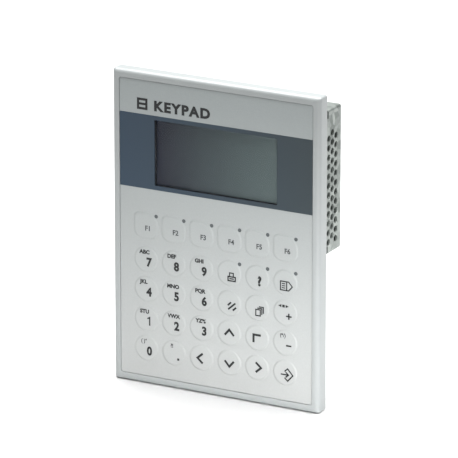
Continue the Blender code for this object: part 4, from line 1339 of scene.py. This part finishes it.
@dataclass
class RearHousing:
    """The perforated sheet-steel housing with its screw flanges, notches and board pillars."""

    box: Box = field(default_factory=lambda: Box.of("rear_housing"))
    sheet: float = 1.2 * MM
    bend: float = 1.6 * MM
    bend_end: float = 0.3 * MM       # the flat's outline starts this far inside the bend
    steps: int = 5
    flange_reach: float = 8.0 * MM
    flange_gap: float = 7.0 * MM
    flange_root: float = 0.6         # how much of the wall's thickness the flange runs into
    flange_corner: float = 0.5 * MM
    notch_height: float = 5.5 * MM
    notch_start: float = 1.0 * MM    # behind the flange's rear face
    notch_end: float = 19.5 * MM
    bore: float = 1.8 * MM
    bore_sides: int = 24
    vent_radius: float = 2.2 * MM
    vent_pitch: float = 6.2 * MM
    vent_rows: int = 12
    vent_columns: int = 3
    column_step: float = 4.9 * MM
    low_margin: float = 8.0 * MM
    rear_margin: float = 8.2 * MM
    port_way: tuple[float, float] = (19.1 * MM, 9.6 * MM)
    header_way: tuple[float, float] = (17.0 * MM, 11.6 * MM)
    way_corner: float = 0.8 * MM
    overrun: float = 1.0 * MM        # cuts start and end this far outside the sheet
    pillar_radius: float = 3.0 * MM
    pillar_edge: float = 0.2 * MM
    pillar_bore: tuple[float, float] = (1.8 * MM, 4.0 * MM)
    board_gap: float = 0.3 * MM

    @property
    def low(self) -> float:
        """The lower wall's outer face."""
        return self.box.low.z + self.flange_reach

    @property
    def high(self) -> float:
        """The upper wall's outer face."""
        return self.box.high.z - self.flange_reach

    def wall(self, inset: float, bend: float, back: float) -> list[tuple[Loop, float]]:
        """Return one side of the sheet, from the housing's rim to its flat back.

        Args:
            inset: How far this side lies inside the housing's box.
            bend: This side's radius at the fold.
            back: The level of the flat.

        Returns:
            The outlines and their levels.
        """
        x, z = self.box.centre.x, (self.low + self.high) / 2
        width, height = self.box.size.x, self.high - self.low
        rows = [(rounded(x, z, width - 2 * inset, height - 2 * inset, bend), self.box.low.y)]
        for i in range(self.steps + 1):
            angle = math.pi / 2 * i / self.steps
            step = 2 * (inset + bend * (1 - math.cos(angle)))
            rows.append((rounded(x, z, width - step, height - step, bend),
                         back - bend * (1 - math.sin(angle))))
        flat = 2 * (inset + bend + self.bend_end)
        rows.append((rounded(x, z, width - flat, height - flat, bend), back))
        return rows

    def folded_box(self) -> bpy.types.Object:
        """Return the folded box, open at the front."""
        back = self.box.high.y
        shell = Shell()
        outside = shell.tower(self.wall(0, self.bend, back))
        inside = shell.tower(self.wall(self.sheet, self.bend - self.sheet, back - self.sheet))
        shell.bridge(outside[0], inside[0])
        shell.cap(outside[-1])
        shell.cap(inside[-1])
        return shell.make("vented_housing", [HOUSING_STEEL.build()])

    def flanges(self) -> Shell:
        """Return the two screw flanges, above and below the box."""
        near = self.box.low.y
        half = self.box.size.x / 2 - self.flange_gap
        reach = self.flange_reach + self.flange_root * self.sheet
        shell = Shell()
        for middle in (self.low - self.flange_reach + reach / 2, self.high + self.flange_reach - reach / 2):
            outline = rounded(self.box.centre.x, middle, 2 * half, reach, self.flange_corner, 3)
            shell.solid([(outline, near), (outline, near + self.sheet)])
        return shell

    def bores_and_notches(self) -> Shell:
        """Return what is cut for the screws, and at the four corners of the side walls."""
        near = self.box.low.y
        shell = Shell()
        for node in screw_nodes("housing"):
            at = Box.of(node).centre
            hole = circle(at.x, at.z, self.bore, self.bore_sides)
            shell.solid([(hole, near - self.overrun), (hole, near + 3 * self.overrun)])
        width = 2 * self.sheet + 0.4 * MM
        for x in (self.box.low.x, self.box.high.x):
            for z in (self.low, self.high):
                outline = rounded(x, z, width, 2 * self.notch_height, 0.05 * MM, 1)
                shell.solid([(outline, near + self.sheet + self.notch_start), (outline, self.notch_end)])
        return shell

    def connector_ways(self) -> Shell:
        """Return what is cut in the lower wall for the port and the power header."""
        shell = Shell(Axis.Z)
        for node, (width, depth) in (("serial_port", self.port_way), ("power_header", self.header_way)):
            at = Box.of(node).centre
            outline = rounded(at.x, at.y, width, depth, self.way_corner, 3)
            shell.solid([(outline, self.low - self.overrun), (outline, self.low + 2 * self.overrun)])
        return shell

    def vent_tree(self) -> bpy.types.NodeTree:
        """Return the tree that punches staggered round holes through both side walls.

        Returns:
            The node tree, with an input for each size.
        """
        tree = bpy.data.node_groups.new("staggered vents", "GeometryNodeTree")
        face = tree.interface
        face.new_socket(name="Sheet", in_out="INPUT", socket_type="NodeSocketGeometry")
        for name in ("Hole Radius", "Row Pitch", "Column Step", "Span", "First Y", "First Z"):
            face.new_socket(name=name, in_out="INPUT", socket_type="NodeSocketFloat")
        for name in ("Rows", "Columns"):
            face.new_socket(name=name, in_out="INPUT", socket_type="NodeSocketInt")
        face.new_socket(name="Finish", in_out="INPUT", socket_type="NodeSocketMaterial")
        face.new_socket(name="Sheet", in_out="OUTPUT", socket_type="NodeSocketGeometry")
        given = add(tree, "NodeGroupInput").outputs
        grid = add(tree, "GeometryNodeMeshGrid", {
            "Vertices X": given["Columns"], "Vertices Y": given["Rows"], "Size X": 0.0, "Size Y": 0.0})
        index = add(tree, "GeometryNodeInputIndex").outputs[0]
        share = add(tree, "ShaderNodeMath", {0: index, 1: given["Rows"]}, operation="DIVIDE")
        column = add(tree, "ShaderNodeMath", {0: share.outputs[0]}, operation="FLOOR").outputs[0]
        row = add(tree, "ShaderNodeMath", {0: index, 1: given["Rows"]}, operation="MODULO").outputs[0]
        odd = add(tree, "ShaderNodeMath", {0: column, 1: 2.0}, operation="MODULO").outputs[0]
        half = add(tree, "ShaderNodeMath", {0: odd, 1: 0.5, 2: row}, operation="MULTIPLY_ADD").outputs[0]
        z = add(tree, "ShaderNodeMath", {0: half, 1: given["Row Pitch"], 2: given["First Z"]},
                operation="MULTIPLY_ADD").outputs[0]
        back = add(tree, "ShaderNodeMath", {0: column, 1: given["Column Step"]},
                   operation="MULTIPLY").outputs[0]
        y = add(tree, "ShaderNodeMath", {0: given["First Y"], 1: back}, operation="SUBTRACT").outputs[0]
        where = add(tree, "ShaderNodeCombineXYZ", {"Y": y, "Z": z}).outputs[0]
        points = add(tree, "GeometryNodeSetPosition", {"Geometry": grid.outputs["Mesh"], "Position": where})
        punch = add(tree, "GeometryNodeMeshCylinder", {"Vertices": 28, "Radius": given["Hole Radius"],
                                                       "Depth": given["Span"]})
        punches = add(tree, "GeometryNodeInstanceOnPoints", {"Points": points.outputs[0],
                                                             "Instance": punch.outputs["Mesh"],
                                                             "Rotation": (0.0, math.pi / 2, 0.0)})
        solid = add(tree, "GeometryNodeRealizeInstances", {"Geometry": punches.outputs[0]})
        cut = add(tree, "GeometryNodeMeshBoolean", {0: given["Sheet"], 1: solid.outputs[0]},
                  operation="DIFFERENCE", solver="EXACT")
        real = add(tree, "GeometryNodeRealizeInstances", {"Geometry": cut.outputs[0]})
        done = add(tree, "GeometryNodeSetMaterial", {"Geometry": real.outputs[0],
                                                     "Material": given["Finish"]})
        add(tree, "NodeGroupOutput", {0: done.outputs[0]})
        return tree

    def build(self) -> None:
        """Make the housing, punch its vents and set its pillars."""
        item = self.folded_box()
        shape(item, "UNION", self.flanges())
        shape(item, "DIFFERENCE", self.bores_and_notches())
        shape(item, "DIFFERENCE", self.connector_ways())
        grow(item, self.vent_tree(), {
            "Hole Radius": self.vent_radius, "Row Pitch": self.vent_pitch, "Column Step": self.column_step,
            "Span": self.box.size.x + 4 * self.overrun, "First Y": self.box.high.y - self.rear_margin,
            "First Z": self.low + self.low_margin, "Rows": self.vent_rows, "Columns": self.vent_columns,
            "Finish": HOUSING_STEEL.build()})
        adopt(item, "galvanised_sheet", "rear_housing")
        self.pillars()

    def pillars(self) -> None:
        """Make the four pillars that carry the power board, bored for its screws."""
        near = Box.of("power_board").high.y + self.board_gap
        far = self.box.high.y - self.sheet
        bore, depth = self.pillar_bore
        shell = Shell()
        for node in screw_nodes("board"):
            at = Box.of(node).centre
            shell.solid([(circle(at.x, at.z, radius, self.bore_sides), y) for radius, y in
                         ((bore, near + depth), (bore, near), (self.pillar_radius - self.pillar_edge, near),
                          (self.pillar_radius, near + self.pillar_edge), (self.pillar_radius, far))])
        adopt(shell.make("board_pillars", [SCREW_STEEL.build()]), "galvanised_sheet")


def grow(item: bpy.types.Object, tree: bpy.types.NodeTree, values: dict[str, object]) -> None:
    """Run a geometry tree on a piece and keep its plain mesh.

    Args:
        item: The piece.
        tree: The geometry tree.
        values: The value of each of its named inputs.
    """
    step = item.modifiers.new(tree.name, "NODES")
    step.node_group = tree
    for socket in tree.interface.items_tree:
        if socket.in_out == "INPUT" and socket.name in values:
            step[socket.identifier] = values[socket.name]
    settle(item)


# ---------------------------------------------------------------- screws

@dataclass
class Screws:
    """Pan-head screws with a cross recess: eight at the rear and four on the power board."""

    shank_radius: float = 1.5 * MM
    shank_sides: int = 24
    head_radius: float = 2.8 * MM
    head_height: float = 2.0 * MM
    head_sides: int = 32
    # the head's stages from its underside to its top: start and end as shares of its height, and
    # the radius at each as a share of its radius
    head_stages: tuple[tuple[float, float, float, float], ...] = (
        (-0.02, 0.4, 1.0, 1.0), (0.38, 0.75, 1.0, 0.9), (0.73, 1.0, 0.905, 0.62))
    recess_width: float = 0.75 * MM
    recess_length: float = 1.15      # as a share of the head's radius
    recess_depth: float = 1.3        # as a share of the head's height
    seed: int = 7

    def interface(self, tree: bpy.types.NodeTree) -> None:
        """Name the tree's inputs and its output."""
        face = tree.interface
        face.new_socket(name="Places", in_out="INPUT", socket_type="NodeSocketGeometry")
        for name in ("Shank Radius", "Shank Length", "Head Radius", "Head Height", "Recess Width",
                     "Facing"):
            face.new_socket(name=name, in_out="INPUT", socket_type="NodeSocketFloat")
        face.new_socket(name="Seed", in_out="INPUT", socket_type="NodeSocketInt")
        face.new_socket(name="Finish", in_out="INPUT", socket_type="NodeSocketMaterial")
        face.new_socket(name="Screws", in_out="OUTPUT", socket_type="NodeSocketGeometry")

    def body(self, tree: bpy.types.NodeTree, given: bpy.types.NodeOutputs) -> bpy.types.NodeSocket:
        """Join the shank and the stages of the head.

        Args:
            tree: The node tree.
            given: The tree's inputs.

        Returns:
            The mesh, with the head's underside at level 0.
        """
        sink = add(tree, "ShaderNodeMath", {0: given["Shank Length"], 1: -0.5}, operation="MULTIPLY")
        down = add(tree, "ShaderNodeCombineXYZ", {"Z": sink.outputs[0]})
        shank = add(tree, "GeometryNodeMeshCylinder", {
            "Vertices": self.shank_sides, "Radius": given["Shank Radius"], "Depth": given["Shank Length"]})
        lowered = add(tree, "GeometryNodeTransform", {"Geometry": shank.outputs["Mesh"],
                                                      "Translation": down.outputs[0]})
        parts = [lowered.outputs[0]]
        for start, end, wide, narrow in self.head_stages:
            level = add(tree, "ShaderNodeMath", {0: given["Head Height"], 1: start}, operation="MULTIPLY")
            depth = add(tree, "ShaderNodeMath", {0: given["Head Height"], 1: end - start},
                        operation="MULTIPLY")
            below = add(tree, "ShaderNodeMath", {0: given["Head Radius"], 1: wide}, operation="MULTIPLY")
            above = add(tree, "ShaderNodeMath", {0: given["Head Radius"], 1: narrow},
                        operation="MULTIPLY")
            cone = add(tree, "GeometryNodeMeshCone", {
                "Vertices": self.head_sides, "Radius Bottom": below.outputs[0],
                "Radius Top": above.outputs[0], "Depth": depth.outputs[0]})
            up = add(tree, "ShaderNodeCombineXYZ", {"Z": level.outputs[0]})
            stage = add(tree, "GeometryNodeTransform", {"Geometry": cone.outputs["Mesh"],
                                                        "Translation": up.outputs[0]})
            parts.append(stage.outputs[0])
        return add(tree, "GeometryNodeMeshBoolean", {1: parts}, operation="UNION",
                   solver="EXACT").outputs[0]

    def recess(self, tree: bpy.types.NodeTree, given: bpy.types.NodeOutputs) -> list:
        """Return the two bars that cut the cross recess.

        Args:
            tree: The node tree.
            given: The tree's inputs.

        Returns:
            The bars' meshes.
        """
        bars = []
        for long_x in (True, False):
            length = add(tree, "ShaderNodeMath", {0: given["Head Radius"], 1: self.recess_length},
                         operation="MULTIPLY").outputs[0]
            deep = add(tree, "ShaderNodeMath", {0: given["Head Height"], 1: self.recess_depth},
                       operation="MULTIPLY").outputs[0]
            wide = given["Recess Width"]
            size = add(tree, "ShaderNodeCombineXYZ", {"X": length if long_x else wide,
                                                      "Y": wide if long_x else length, "Z": deep})
            cube = add(tree, "GeometryNodeMeshCube", {"Size": size.outputs[0]})
            up = add(tree, "ShaderNodeCombineXYZ", {"Z": deep})
            bar = add(tree, "GeometryNodeTransform", {"Geometry": cube.outputs["Mesh"],
                                                      "Translation": up.outputs[0]})
            bars.append(bar.outputs[0])
        return bars

    def tree(self) -> bpy.types.NodeTree:
        """Return the tree that sets one screw on each point.

        Returns:
            The node tree, with an input for each size.
        """
        tree = bpy.data.node_groups.new("cross-recess screws", "GeometryNodeTree")
        self.interface(tree)
        given = add(tree, "NodeGroupInput").outputs
        body = self.body(tree, given)
        screw = add(tree, "GeometryNodeMeshBoolean", {0: body, 1: self.recess(tree, given)},
                    operation="DIFFERENCE", solver="EXACT")
        spin = add(tree, "FunctionNodeRandomValue", {2: 0.0, 3: math.pi / 2, "Seed": given["Seed"]},
                   data_type="FLOAT")
        tilt = add(tree, "ShaderNodeCombineXYZ", {"X": given["Facing"]}).outputs[0]
        twist = add(tree, "ShaderNodeCombineXYZ", {"Z": spin.outputs[1]}).outputs[0]
        set_on = add(tree, "GeometryNodeInstanceOnPoints", {
            "Points": given["Places"], "Instance": screw.outputs[0], "Rotation": tilt})
        turned_on = add(tree, "GeometryNodeRotateInstances", {
            "Instances": set_on.outputs[0], "Rotation": twist, "Local Space": True})
        real = add(tree, "GeometryNodeRealizeInstances", {"Geometry": turned_on.outputs[0]})
        done = add(tree, "GeometryNodeSetMaterial", {"Geometry": real.outputs[0],
                                                     "Material": given["Finish"]})
        add(tree, "NodeGroupOutput", {0: done.outputs[0]})
        return tree

    def row(self, name: str, nodes: Sequence[str], head_at_back: bool, tree: bpy.types.NodeTree) -> None:
        """Make one group of screws that face the same way.

        Args:
            name: The piece's name.
            nodes: The CAD screws that it stands for.
            head_at_back: Whether the heads are on the +Y side.
            tree: The screws' node tree.
        """
        data = bpy.data.meshes.new(name)
        places, length = [], 0.0
        for node in nodes:
            box = Box.of(node)
            under = box.high.y - self.head_height if head_at_back else box.low.y + self.head_height
            places.append((box.centre.x, under, box.centre.z))
            length = box.size.y - self.head_height
        data.from_pydata(places, [], [])
        item = bpy.data.objects.new(name, data)
        bpy.context.scene.collection.objects.link(item)
        grow(item, tree, {
            "Shank Radius": self.shank_radius, "Shank Length": length, "Head Radius": self.head_radius,
            "Head Height": self.head_height, "Recess Width": self.recess_width, "Seed": self.seed,
            "Facing": -math.pi / 2 if head_at_back else math.pi / 2, "Finish": SCREW_STEEL.build()})
        adopt(item, "screw_steel", *nodes)

    def build(self) -> None:
        """Make all twelve screws."""
        tree = self.tree()
        for group, back in (("tray", True), ("housing", True), ("board", False)):
            self.row(f"{group}_screws", screw_nodes(group), back, tree)


# ---------------------------------------------------------------- connectors and boards

@dataclass
class SerialPort:
    """The nine-way port: nickel shell, black face with its sockets, and two hexagonal posts."""

    box: Box = field(default_factory=lambda: Box.of("serial_port"))
    width: float = 18.5 * MM
    depth: float = 9.0 * MM
    radius: float = 2.2 * MM
    slant: float = 0.08              # how far the D narrows on each side, as a share of its width
    wall: float = 0.5 * MM
    shell_height: float = 7.0 * MM   # from its mouth to the flange
    cup: float = 3.0 * MM            # the inside's depth behind the mouth
    flange: tuple[float, float] = (30.8 * MM, 11.9 * MM)
    flange_thickness: float = 1.0 * MM
    back: tuple[float, float] = (19.0 * MM, 10.0 * MM)
    corner: float = 1.0 * MM
    corner_steps: int = 5
    post_x: float = 12.5 * MM
    post_radius: float = 2.7 * MM
    post_bore: float = 1.4 * MM
    post_low: float = 1.2 * MM       # levels from the mouth: the post's end,
    post_high: float = 5.4 * MM      # its root,
    post_depth: float = 3.5 * MM     # and the end of its bore
    face_gap: float = 0.1 * MM
    face_low: float = 0.3 * MM
    face_high: float = 2.9 * MM
    socket_radius: float = 0.6 * MM
    socket_depth: float = 2.0 * MM
    socket_pitch: float = 2.77 * MM
    row_shift: float = 1.42 * MM
    rows: tuple[int, int] = (4, 5)

    def trapezoid(self, inset: float, radius: float) -> Loop:
        """Return the port's D outline about its middle, with round corners.

        Args:
            inset: How far inside the shell's outside it runs.
            radius: The corners' radius.

        Returns:
            The outline's points, anticlockwise.
        """
        x, y = self.box.centre.x, self.box.centre.y
        width, depth = self.width - 2 * inset, self.depth - 2 * inset
        loop = rounded(x, y, width, depth, radius, self.corner_steps)
        return [(x + (u - x) * (1 - self.slant * (1 - (v - (y - depth / 2)) / depth) * 2), v)
                for u, v in loop]

    def build(self) -> None:
        """Make the shell with its posts, and the face."""
        self.make_shell()
        self.make_face()

    def make_shell(self) -> None:
        """Make the nickel shell and two hexagonal posts."""
        x, y = self.box.centre.x, self.box.centre.y
        low, high = self.box.low.z, self.box.high.z
        flange_low = low + self.shell_height
        flange_high = flange_low + self.flange_thickness
        outer = self.trapezoid(0, self.radius)
        inner = self.trapezoid(self.wall, self.radius - self.wall)
        plate = rounded(x, y, *self.flange, self.corner, self.corner_steps)
        body = rounded(x, y, *self.back, self.corner, self.corner_steps)
        shell = Shell(Axis.Z)
        shell.solid([(inner, low + self.cup), (inner, low), (outer, low), (outer, flange_low),
                     (plate, flange_low), (plate, flange_high), (body, flange_high), (body, high)])
        for side in (-1, 1):
            post = circle(x + side * self.post_x, y, self.post_radius, 6)
            hole = circle(x + side * self.post_x, y, self.post_bore, 6)
            shell.solid([(hole, low + self.post_depth), (hole, low + self.post_low),
                         (post, low + self.post_low), (post, low + self.post_high)])
        adopt(shell.make("port_body", [PORT_STEEL.build()]), "port_shell", "serial_port")

    def make_face(self) -> None:
        """Make the black face with its sockets."""
        low = self.box.low.z
        front = low + self.face_low
        edge = self.trapezoid(self.wall + self.face_gap, self.radius - self.wall)
        face = Shell(Axis.Z)
        near, far = face.tower([(edge, front), (edge, low + self.face_high)])
        sockets = []
        for count, shift in zip(self.rows, (-self.row_shift, self.row_shift)):
            for i in range(count):
                x = self.box.centre.x + (i - (count - 1) / 2) * self.socket_pitch
                hole = circle(x, self.box.centre.y + shift, self.socket_radius, 16)
                first, last = face.tower([(hole, front), (hole, low + self.socket_depth)])
                sockets.append(first)
                face.cap(last)
        face.cap(near, *sockets)
        face.cap(far)
        adopt(face.make("port_face", [INSULATOR.build()]), "port_shell")


@dataclass
class PowerConnector:
    """The power header and its screw plug, under the housing."""

    header: Box = field(default_factory=lambda: Box.of("power_header"))
    plug: Box = field(default_factory=lambda: Box.of("power_plug"))
    header_edge: float = 0.5 * MM
    plug_edge: float = 0.4 * MM
    header_corner: float = 0.4 * MM
    plug_corner: float = 0.5 * MM
    poles: int = 3
    pitch: float = 5.08 * MM
    wire_way: tuple[float, float] = (3.4 * MM, 3.8 * MM)
    wire_depth: float = 6.0 * MM
    overrun: float = 1.0 * MM        # cuts start this far outside the plug
    well_radius: float = 1.8 * MM
    well_depth: float = 2.0 * MM
    groove: tuple[float, float] = (0.5 * MM, 0.4 * MM)
    screw_radius: float = 1.55 * MM
    screw_gap: float = 0.05 * MM
    screw_height: float = 0.7 * MM
    slot: tuple[float, float] = (2.4 * MM, 0.5 * MM)
    slot_floor: float = 0.3 * MM

    def block(self, name: str, box: Box, edge: float, corner: float) -> bpy.types.Object:
        """Make a moulded block with broken edges.

        Args:
            name: The piece's name.
            box: Its place.
            edge: How far its ends' edges are broken.
            corner: Radius of its upright edges.

        Returns:
            The piece.
        """
        size, at = box.size, box.centre
        small = rounded(at.x, at.y, size.x - 2 * edge, size.y - 2 * edge, self.header_corner, 3)
        full = rounded(at.x, at.y, size.x, size.y, corner, 3)
        shell = Shell(Axis.Z)
        shell.solid([(small, box.low.z), (full, box.low.z + edge), (full, box.high.z - edge),
                     (small, box.high.z)])
        return shell.make(name, [TERMINAL.build()])

    def poles_x(self) -> list[float]:
        """Return where the poles are along X."""
        return [self.plug.centre.x + (i - (self.poles - 1) / 2) * self.pitch for i in range(self.poles)]

    def wire_ways(self) -> Shell:
        """Return what is cut for the wires, from below."""
        low = self.plug.low.z
        shell = Shell(Axis.Z)
        for x in self.poles_x():
            hole = rounded(x, self.plug.centre.y, *self.wire_way, 0.5 * MM, 3)
            shell.solid([(hole, low - self.overrun), (hole, low + self.wire_depth)])
        return shell

    def wells(self) -> Shell:
        """Return what is cut for the clamping screws, and the grooves between the poles."""
        z, back = self.plug.centre.z, self.plug.high.y
        spots = self.poles_x()
        shell = Shell()
        for x in spots:
            well = circle(x, z, self.well_radius)
            shell.solid([(well, back - self.well_depth), (well, back + self.overrun)])
        width, depth = self.groove
        for x in spots[:-1]:
            groove = rounded(x + self.pitch / 2, z, width, self.plug.size.z + 2 * self.overrun,
                             0.05 * MM, 1)
            shell.solid([(groove, back - depth), (groove, back + self.overrun)])
        return shell

    def clamps(self) -> Shell:
        """Return the clamping screws' slotted heads at the bottom of their wells."""
        z = self.plug.centre.z
        low = self.plug.high.y - self.well_depth + self.screw_gap
        top_level = low + self.screw_height
        shell = Shell()
        for x in self.poles_x():
            rim = circle(x, z, self.screw_radius)
            first, last = shell.tower([(rim, low), (rim, top_level)])
            slot = rounded(x, z, *self.slot, 0.1 * MM, 2)
            top, bottom = shell.tower([(slot, top_level), (slot, low + self.slot_floor)])
            shell.cap(first)
            shell.cap(last, top)
            shell.cap(bottom)
        return shell

    def build(self) -> None:
        """Make the header, the plug with its wire ways, wells and grooves, and its screws."""
        header = self.block("header_body", self.header, self.header_edge, self.header_corner)
        adopt(header, "terminal_plastic", "power_header")
        plug = self.block("plug_body", self.plug, self.plug_edge, self.plug_corner)
        shape(plug, "DIFFERENCE", self.wire_ways())
        shape(plug, "DIFFERENCE", self.wells())
        adopt(plug, "terminal_plastic", "power_plug")
        adopt(self.clamps().make("plug_screws", [BRASS.build()]), "screw_steel")


@dataclass
class Boards:
    """The CAD's own boards, spacer, circuit and cable, dressed in their real materials."""

    thickness: float = 1.6 * MM
    colour: str = "#0d4a2a"
    gloss: float = 0.35

    def lacquer(self, name: str, face: float, parts_side: float = 1.0) -> SolderMask:
        """Return a board's finish.

        Args:
            name: What the board is.
            face: The level of the face that carries parts.
            parts_side: 1 where they stand on the +Y side, -1 on the other.

        Returns:
            The finish.
        """
        return SolderMask(f"{name} lacquer", self.colour, self.gloss, face=face, parts_side=parts_side)

    def build(self) -> None:
        """Give each kept node its material."""
        main = Box.of("main_board").low.y
        power = Box.of("power_board").high.y
        cable = RibbonCable("grey PVC flat cable", "#8c9196", 0.5)
        first_wire = Box.of("ribbon_cable").low.x + cable.wire
        finishes = {
            "main_board": self.lacquer("main board", main + self.thickness),
            "power_board": self.lacquer("power board", power - self.thickness, parts_side=-1.0),
            "lcd_board": self.lacquer("display board", Box.of("lcd_board").high.y),
            "switch_circuit": self.lacquer("switch board", main),
            "ribbon_cable": replace(cable, edge=first_wire),
            "keypad_spacer": SPACER,
        }
        for name, finish in finishes.items():
            material = finish.build()
            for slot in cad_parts[name].material_slots:
                slot.material = material
            log.info("%s: kept, in %s", name, finish.name)


# ---------------------------------------------------------------- studio

@dataclass
class Lamp:
    """A soft square studio light."""

    name: str
    place: tuple[float, float, float]
    target: tuple[float, float, float]
    side: float
    power: float
    colour: str = "#ffffff"
    spread: float = 180.0

    def build(self) -> None:
        """Hang the light."""
        data = bpy.data.lights.new(self.name, "AREA")
        data.shape = "SQUARE"
        data.size = self.side
        data.energy = self.power
        data.color = linear(self.colour)[:3]
        data.spread = math.radians(self.spread)
        item = bpy.data.objects.new(self.name, data)
        item.location = self.place
        item.rotation_euler = (Vector(self.target) - Vector(self.place)).to_track_quat("-Z", "Y").to_euler()
        bpy.context.scene.collection.objects.link(item)


@dataclass
class Studio:
    """Pale floor, soft lights, pale surroundings and the camera."""

    azimuth: float = 28.1
    elevation: float = 17.92
    distance: float = 3152.1 * MM
    target: tuple[float, float, float] = (10.0 * MM, -10.0 * MM, 112.38 * MM)
    lens: float = 393.0
    reach: float = 50.0              # how far the camera sees
    tone: str = "#f7f9fa"
    surroundings: float = 0.14       # what the dim room gives as light
    backdrop: float = 0.95           # the pale wall behind, where it is seen directly
    floor_middle: tuple[float, float] = (0.0, 0.3)
    floor_radius: float = 2.6
    floor_thickness: float = 10 * MM
    lamps: tuple[Lamp, ...] = (
        Lamp("overhead", (-0.1, 0.5, 2.1), (-0.1, 0.5, 0.0), 2.6, 172.0),
        Lamp("front low right", (0.6, -0.72, 0.02), (0.07, 0.0, -0.05), 0.26, 0.5, spread=26.0),
    )

    def build(self) -> None:
        """Set up the whole studio."""
        bpy.context.scene.view_settings.view_transform = "Standard"
        self.light_room()
        for lamp in self.lamps:
            lamp.build()
        self.lay_floor()
        self.set_camera()

    def light_room(self) -> None:
        """Make a room that lights the object dimly but looks pale behind it."""
        world = bpy.data.worlds.new("pale room")
        bpy.context.scene.world = world
        world.use_nodes = True
        tree = world.node_tree
        tone = linear(self.tone)
        dim = add(tree, "ShaderNodeBackground", {"Color": tone, "Strength": self.surroundings})
        seen = add(tree, "ShaderNodeBackground", {"Color": tone, "Strength": self.backdrop})
        straight = add(tree, "ShaderNodeLightPath").outputs["Is Camera Ray"]
        both = add(tree, "ShaderNodeMixShader", {0: straight, 1: dim.outputs[0], 2: seen.outputs[0]})
        tree.links.new(both.outputs[0], tree.nodes["World Output"].inputs["Surface"])

    def lay_floor(self) -> None:
        """Make the floor that the object stands on."""
        level = CAD_BOX[0].z
        disc = circle(*self.floor_middle, self.floor_radius, 64)
        shell = Shell(Axis.Z)
        shell.solid([(disc, level - self.floor_thickness), (disc, level)])
        shell.make("floor", [PAPER.build()])

    def set_camera(self) -> None:
        """Make the camera, which looks at the target from its azimuth and elevation."""
        data = bpy.data.cameras.new("camera")
        data.lens = self.lens
        data.clip_end = self.reach
        camera = bpy.data.objects.new("camera", data)
        turn, rise = math.radians(self.azimuth), math.radians(self.elevation)
        back_way = Vector((math.sin(turn) * math.cos(rise), -math.cos(turn) * math.cos(rise),
                           math.sin(rise)))
        camera.location = Vector(self.target) + back_way * self.distance
        camera.rotation_euler = (-back_way).to_track_quat("-Z", "Y").to_euler()
        bpy.context.scene.collection.objects.link(camera)
        bpy.context.scene.camera = camera


def main() -> None:
    """Build every sub-assembly in order."""
    logging.basicConfig(level=logging.INFO, format="%(message)s")
    for part in (FrontFrame(), Keypad(), Display(), RearTray(), RearHousing(), Screws(), SerialPort(),
                 PowerConnector(), Boards(), Studio()):
        part.build()
        log.info("%s done", type(part).__name__)
    bpy.context.view_layer.update()


if __name__ == "__main__":
    main()
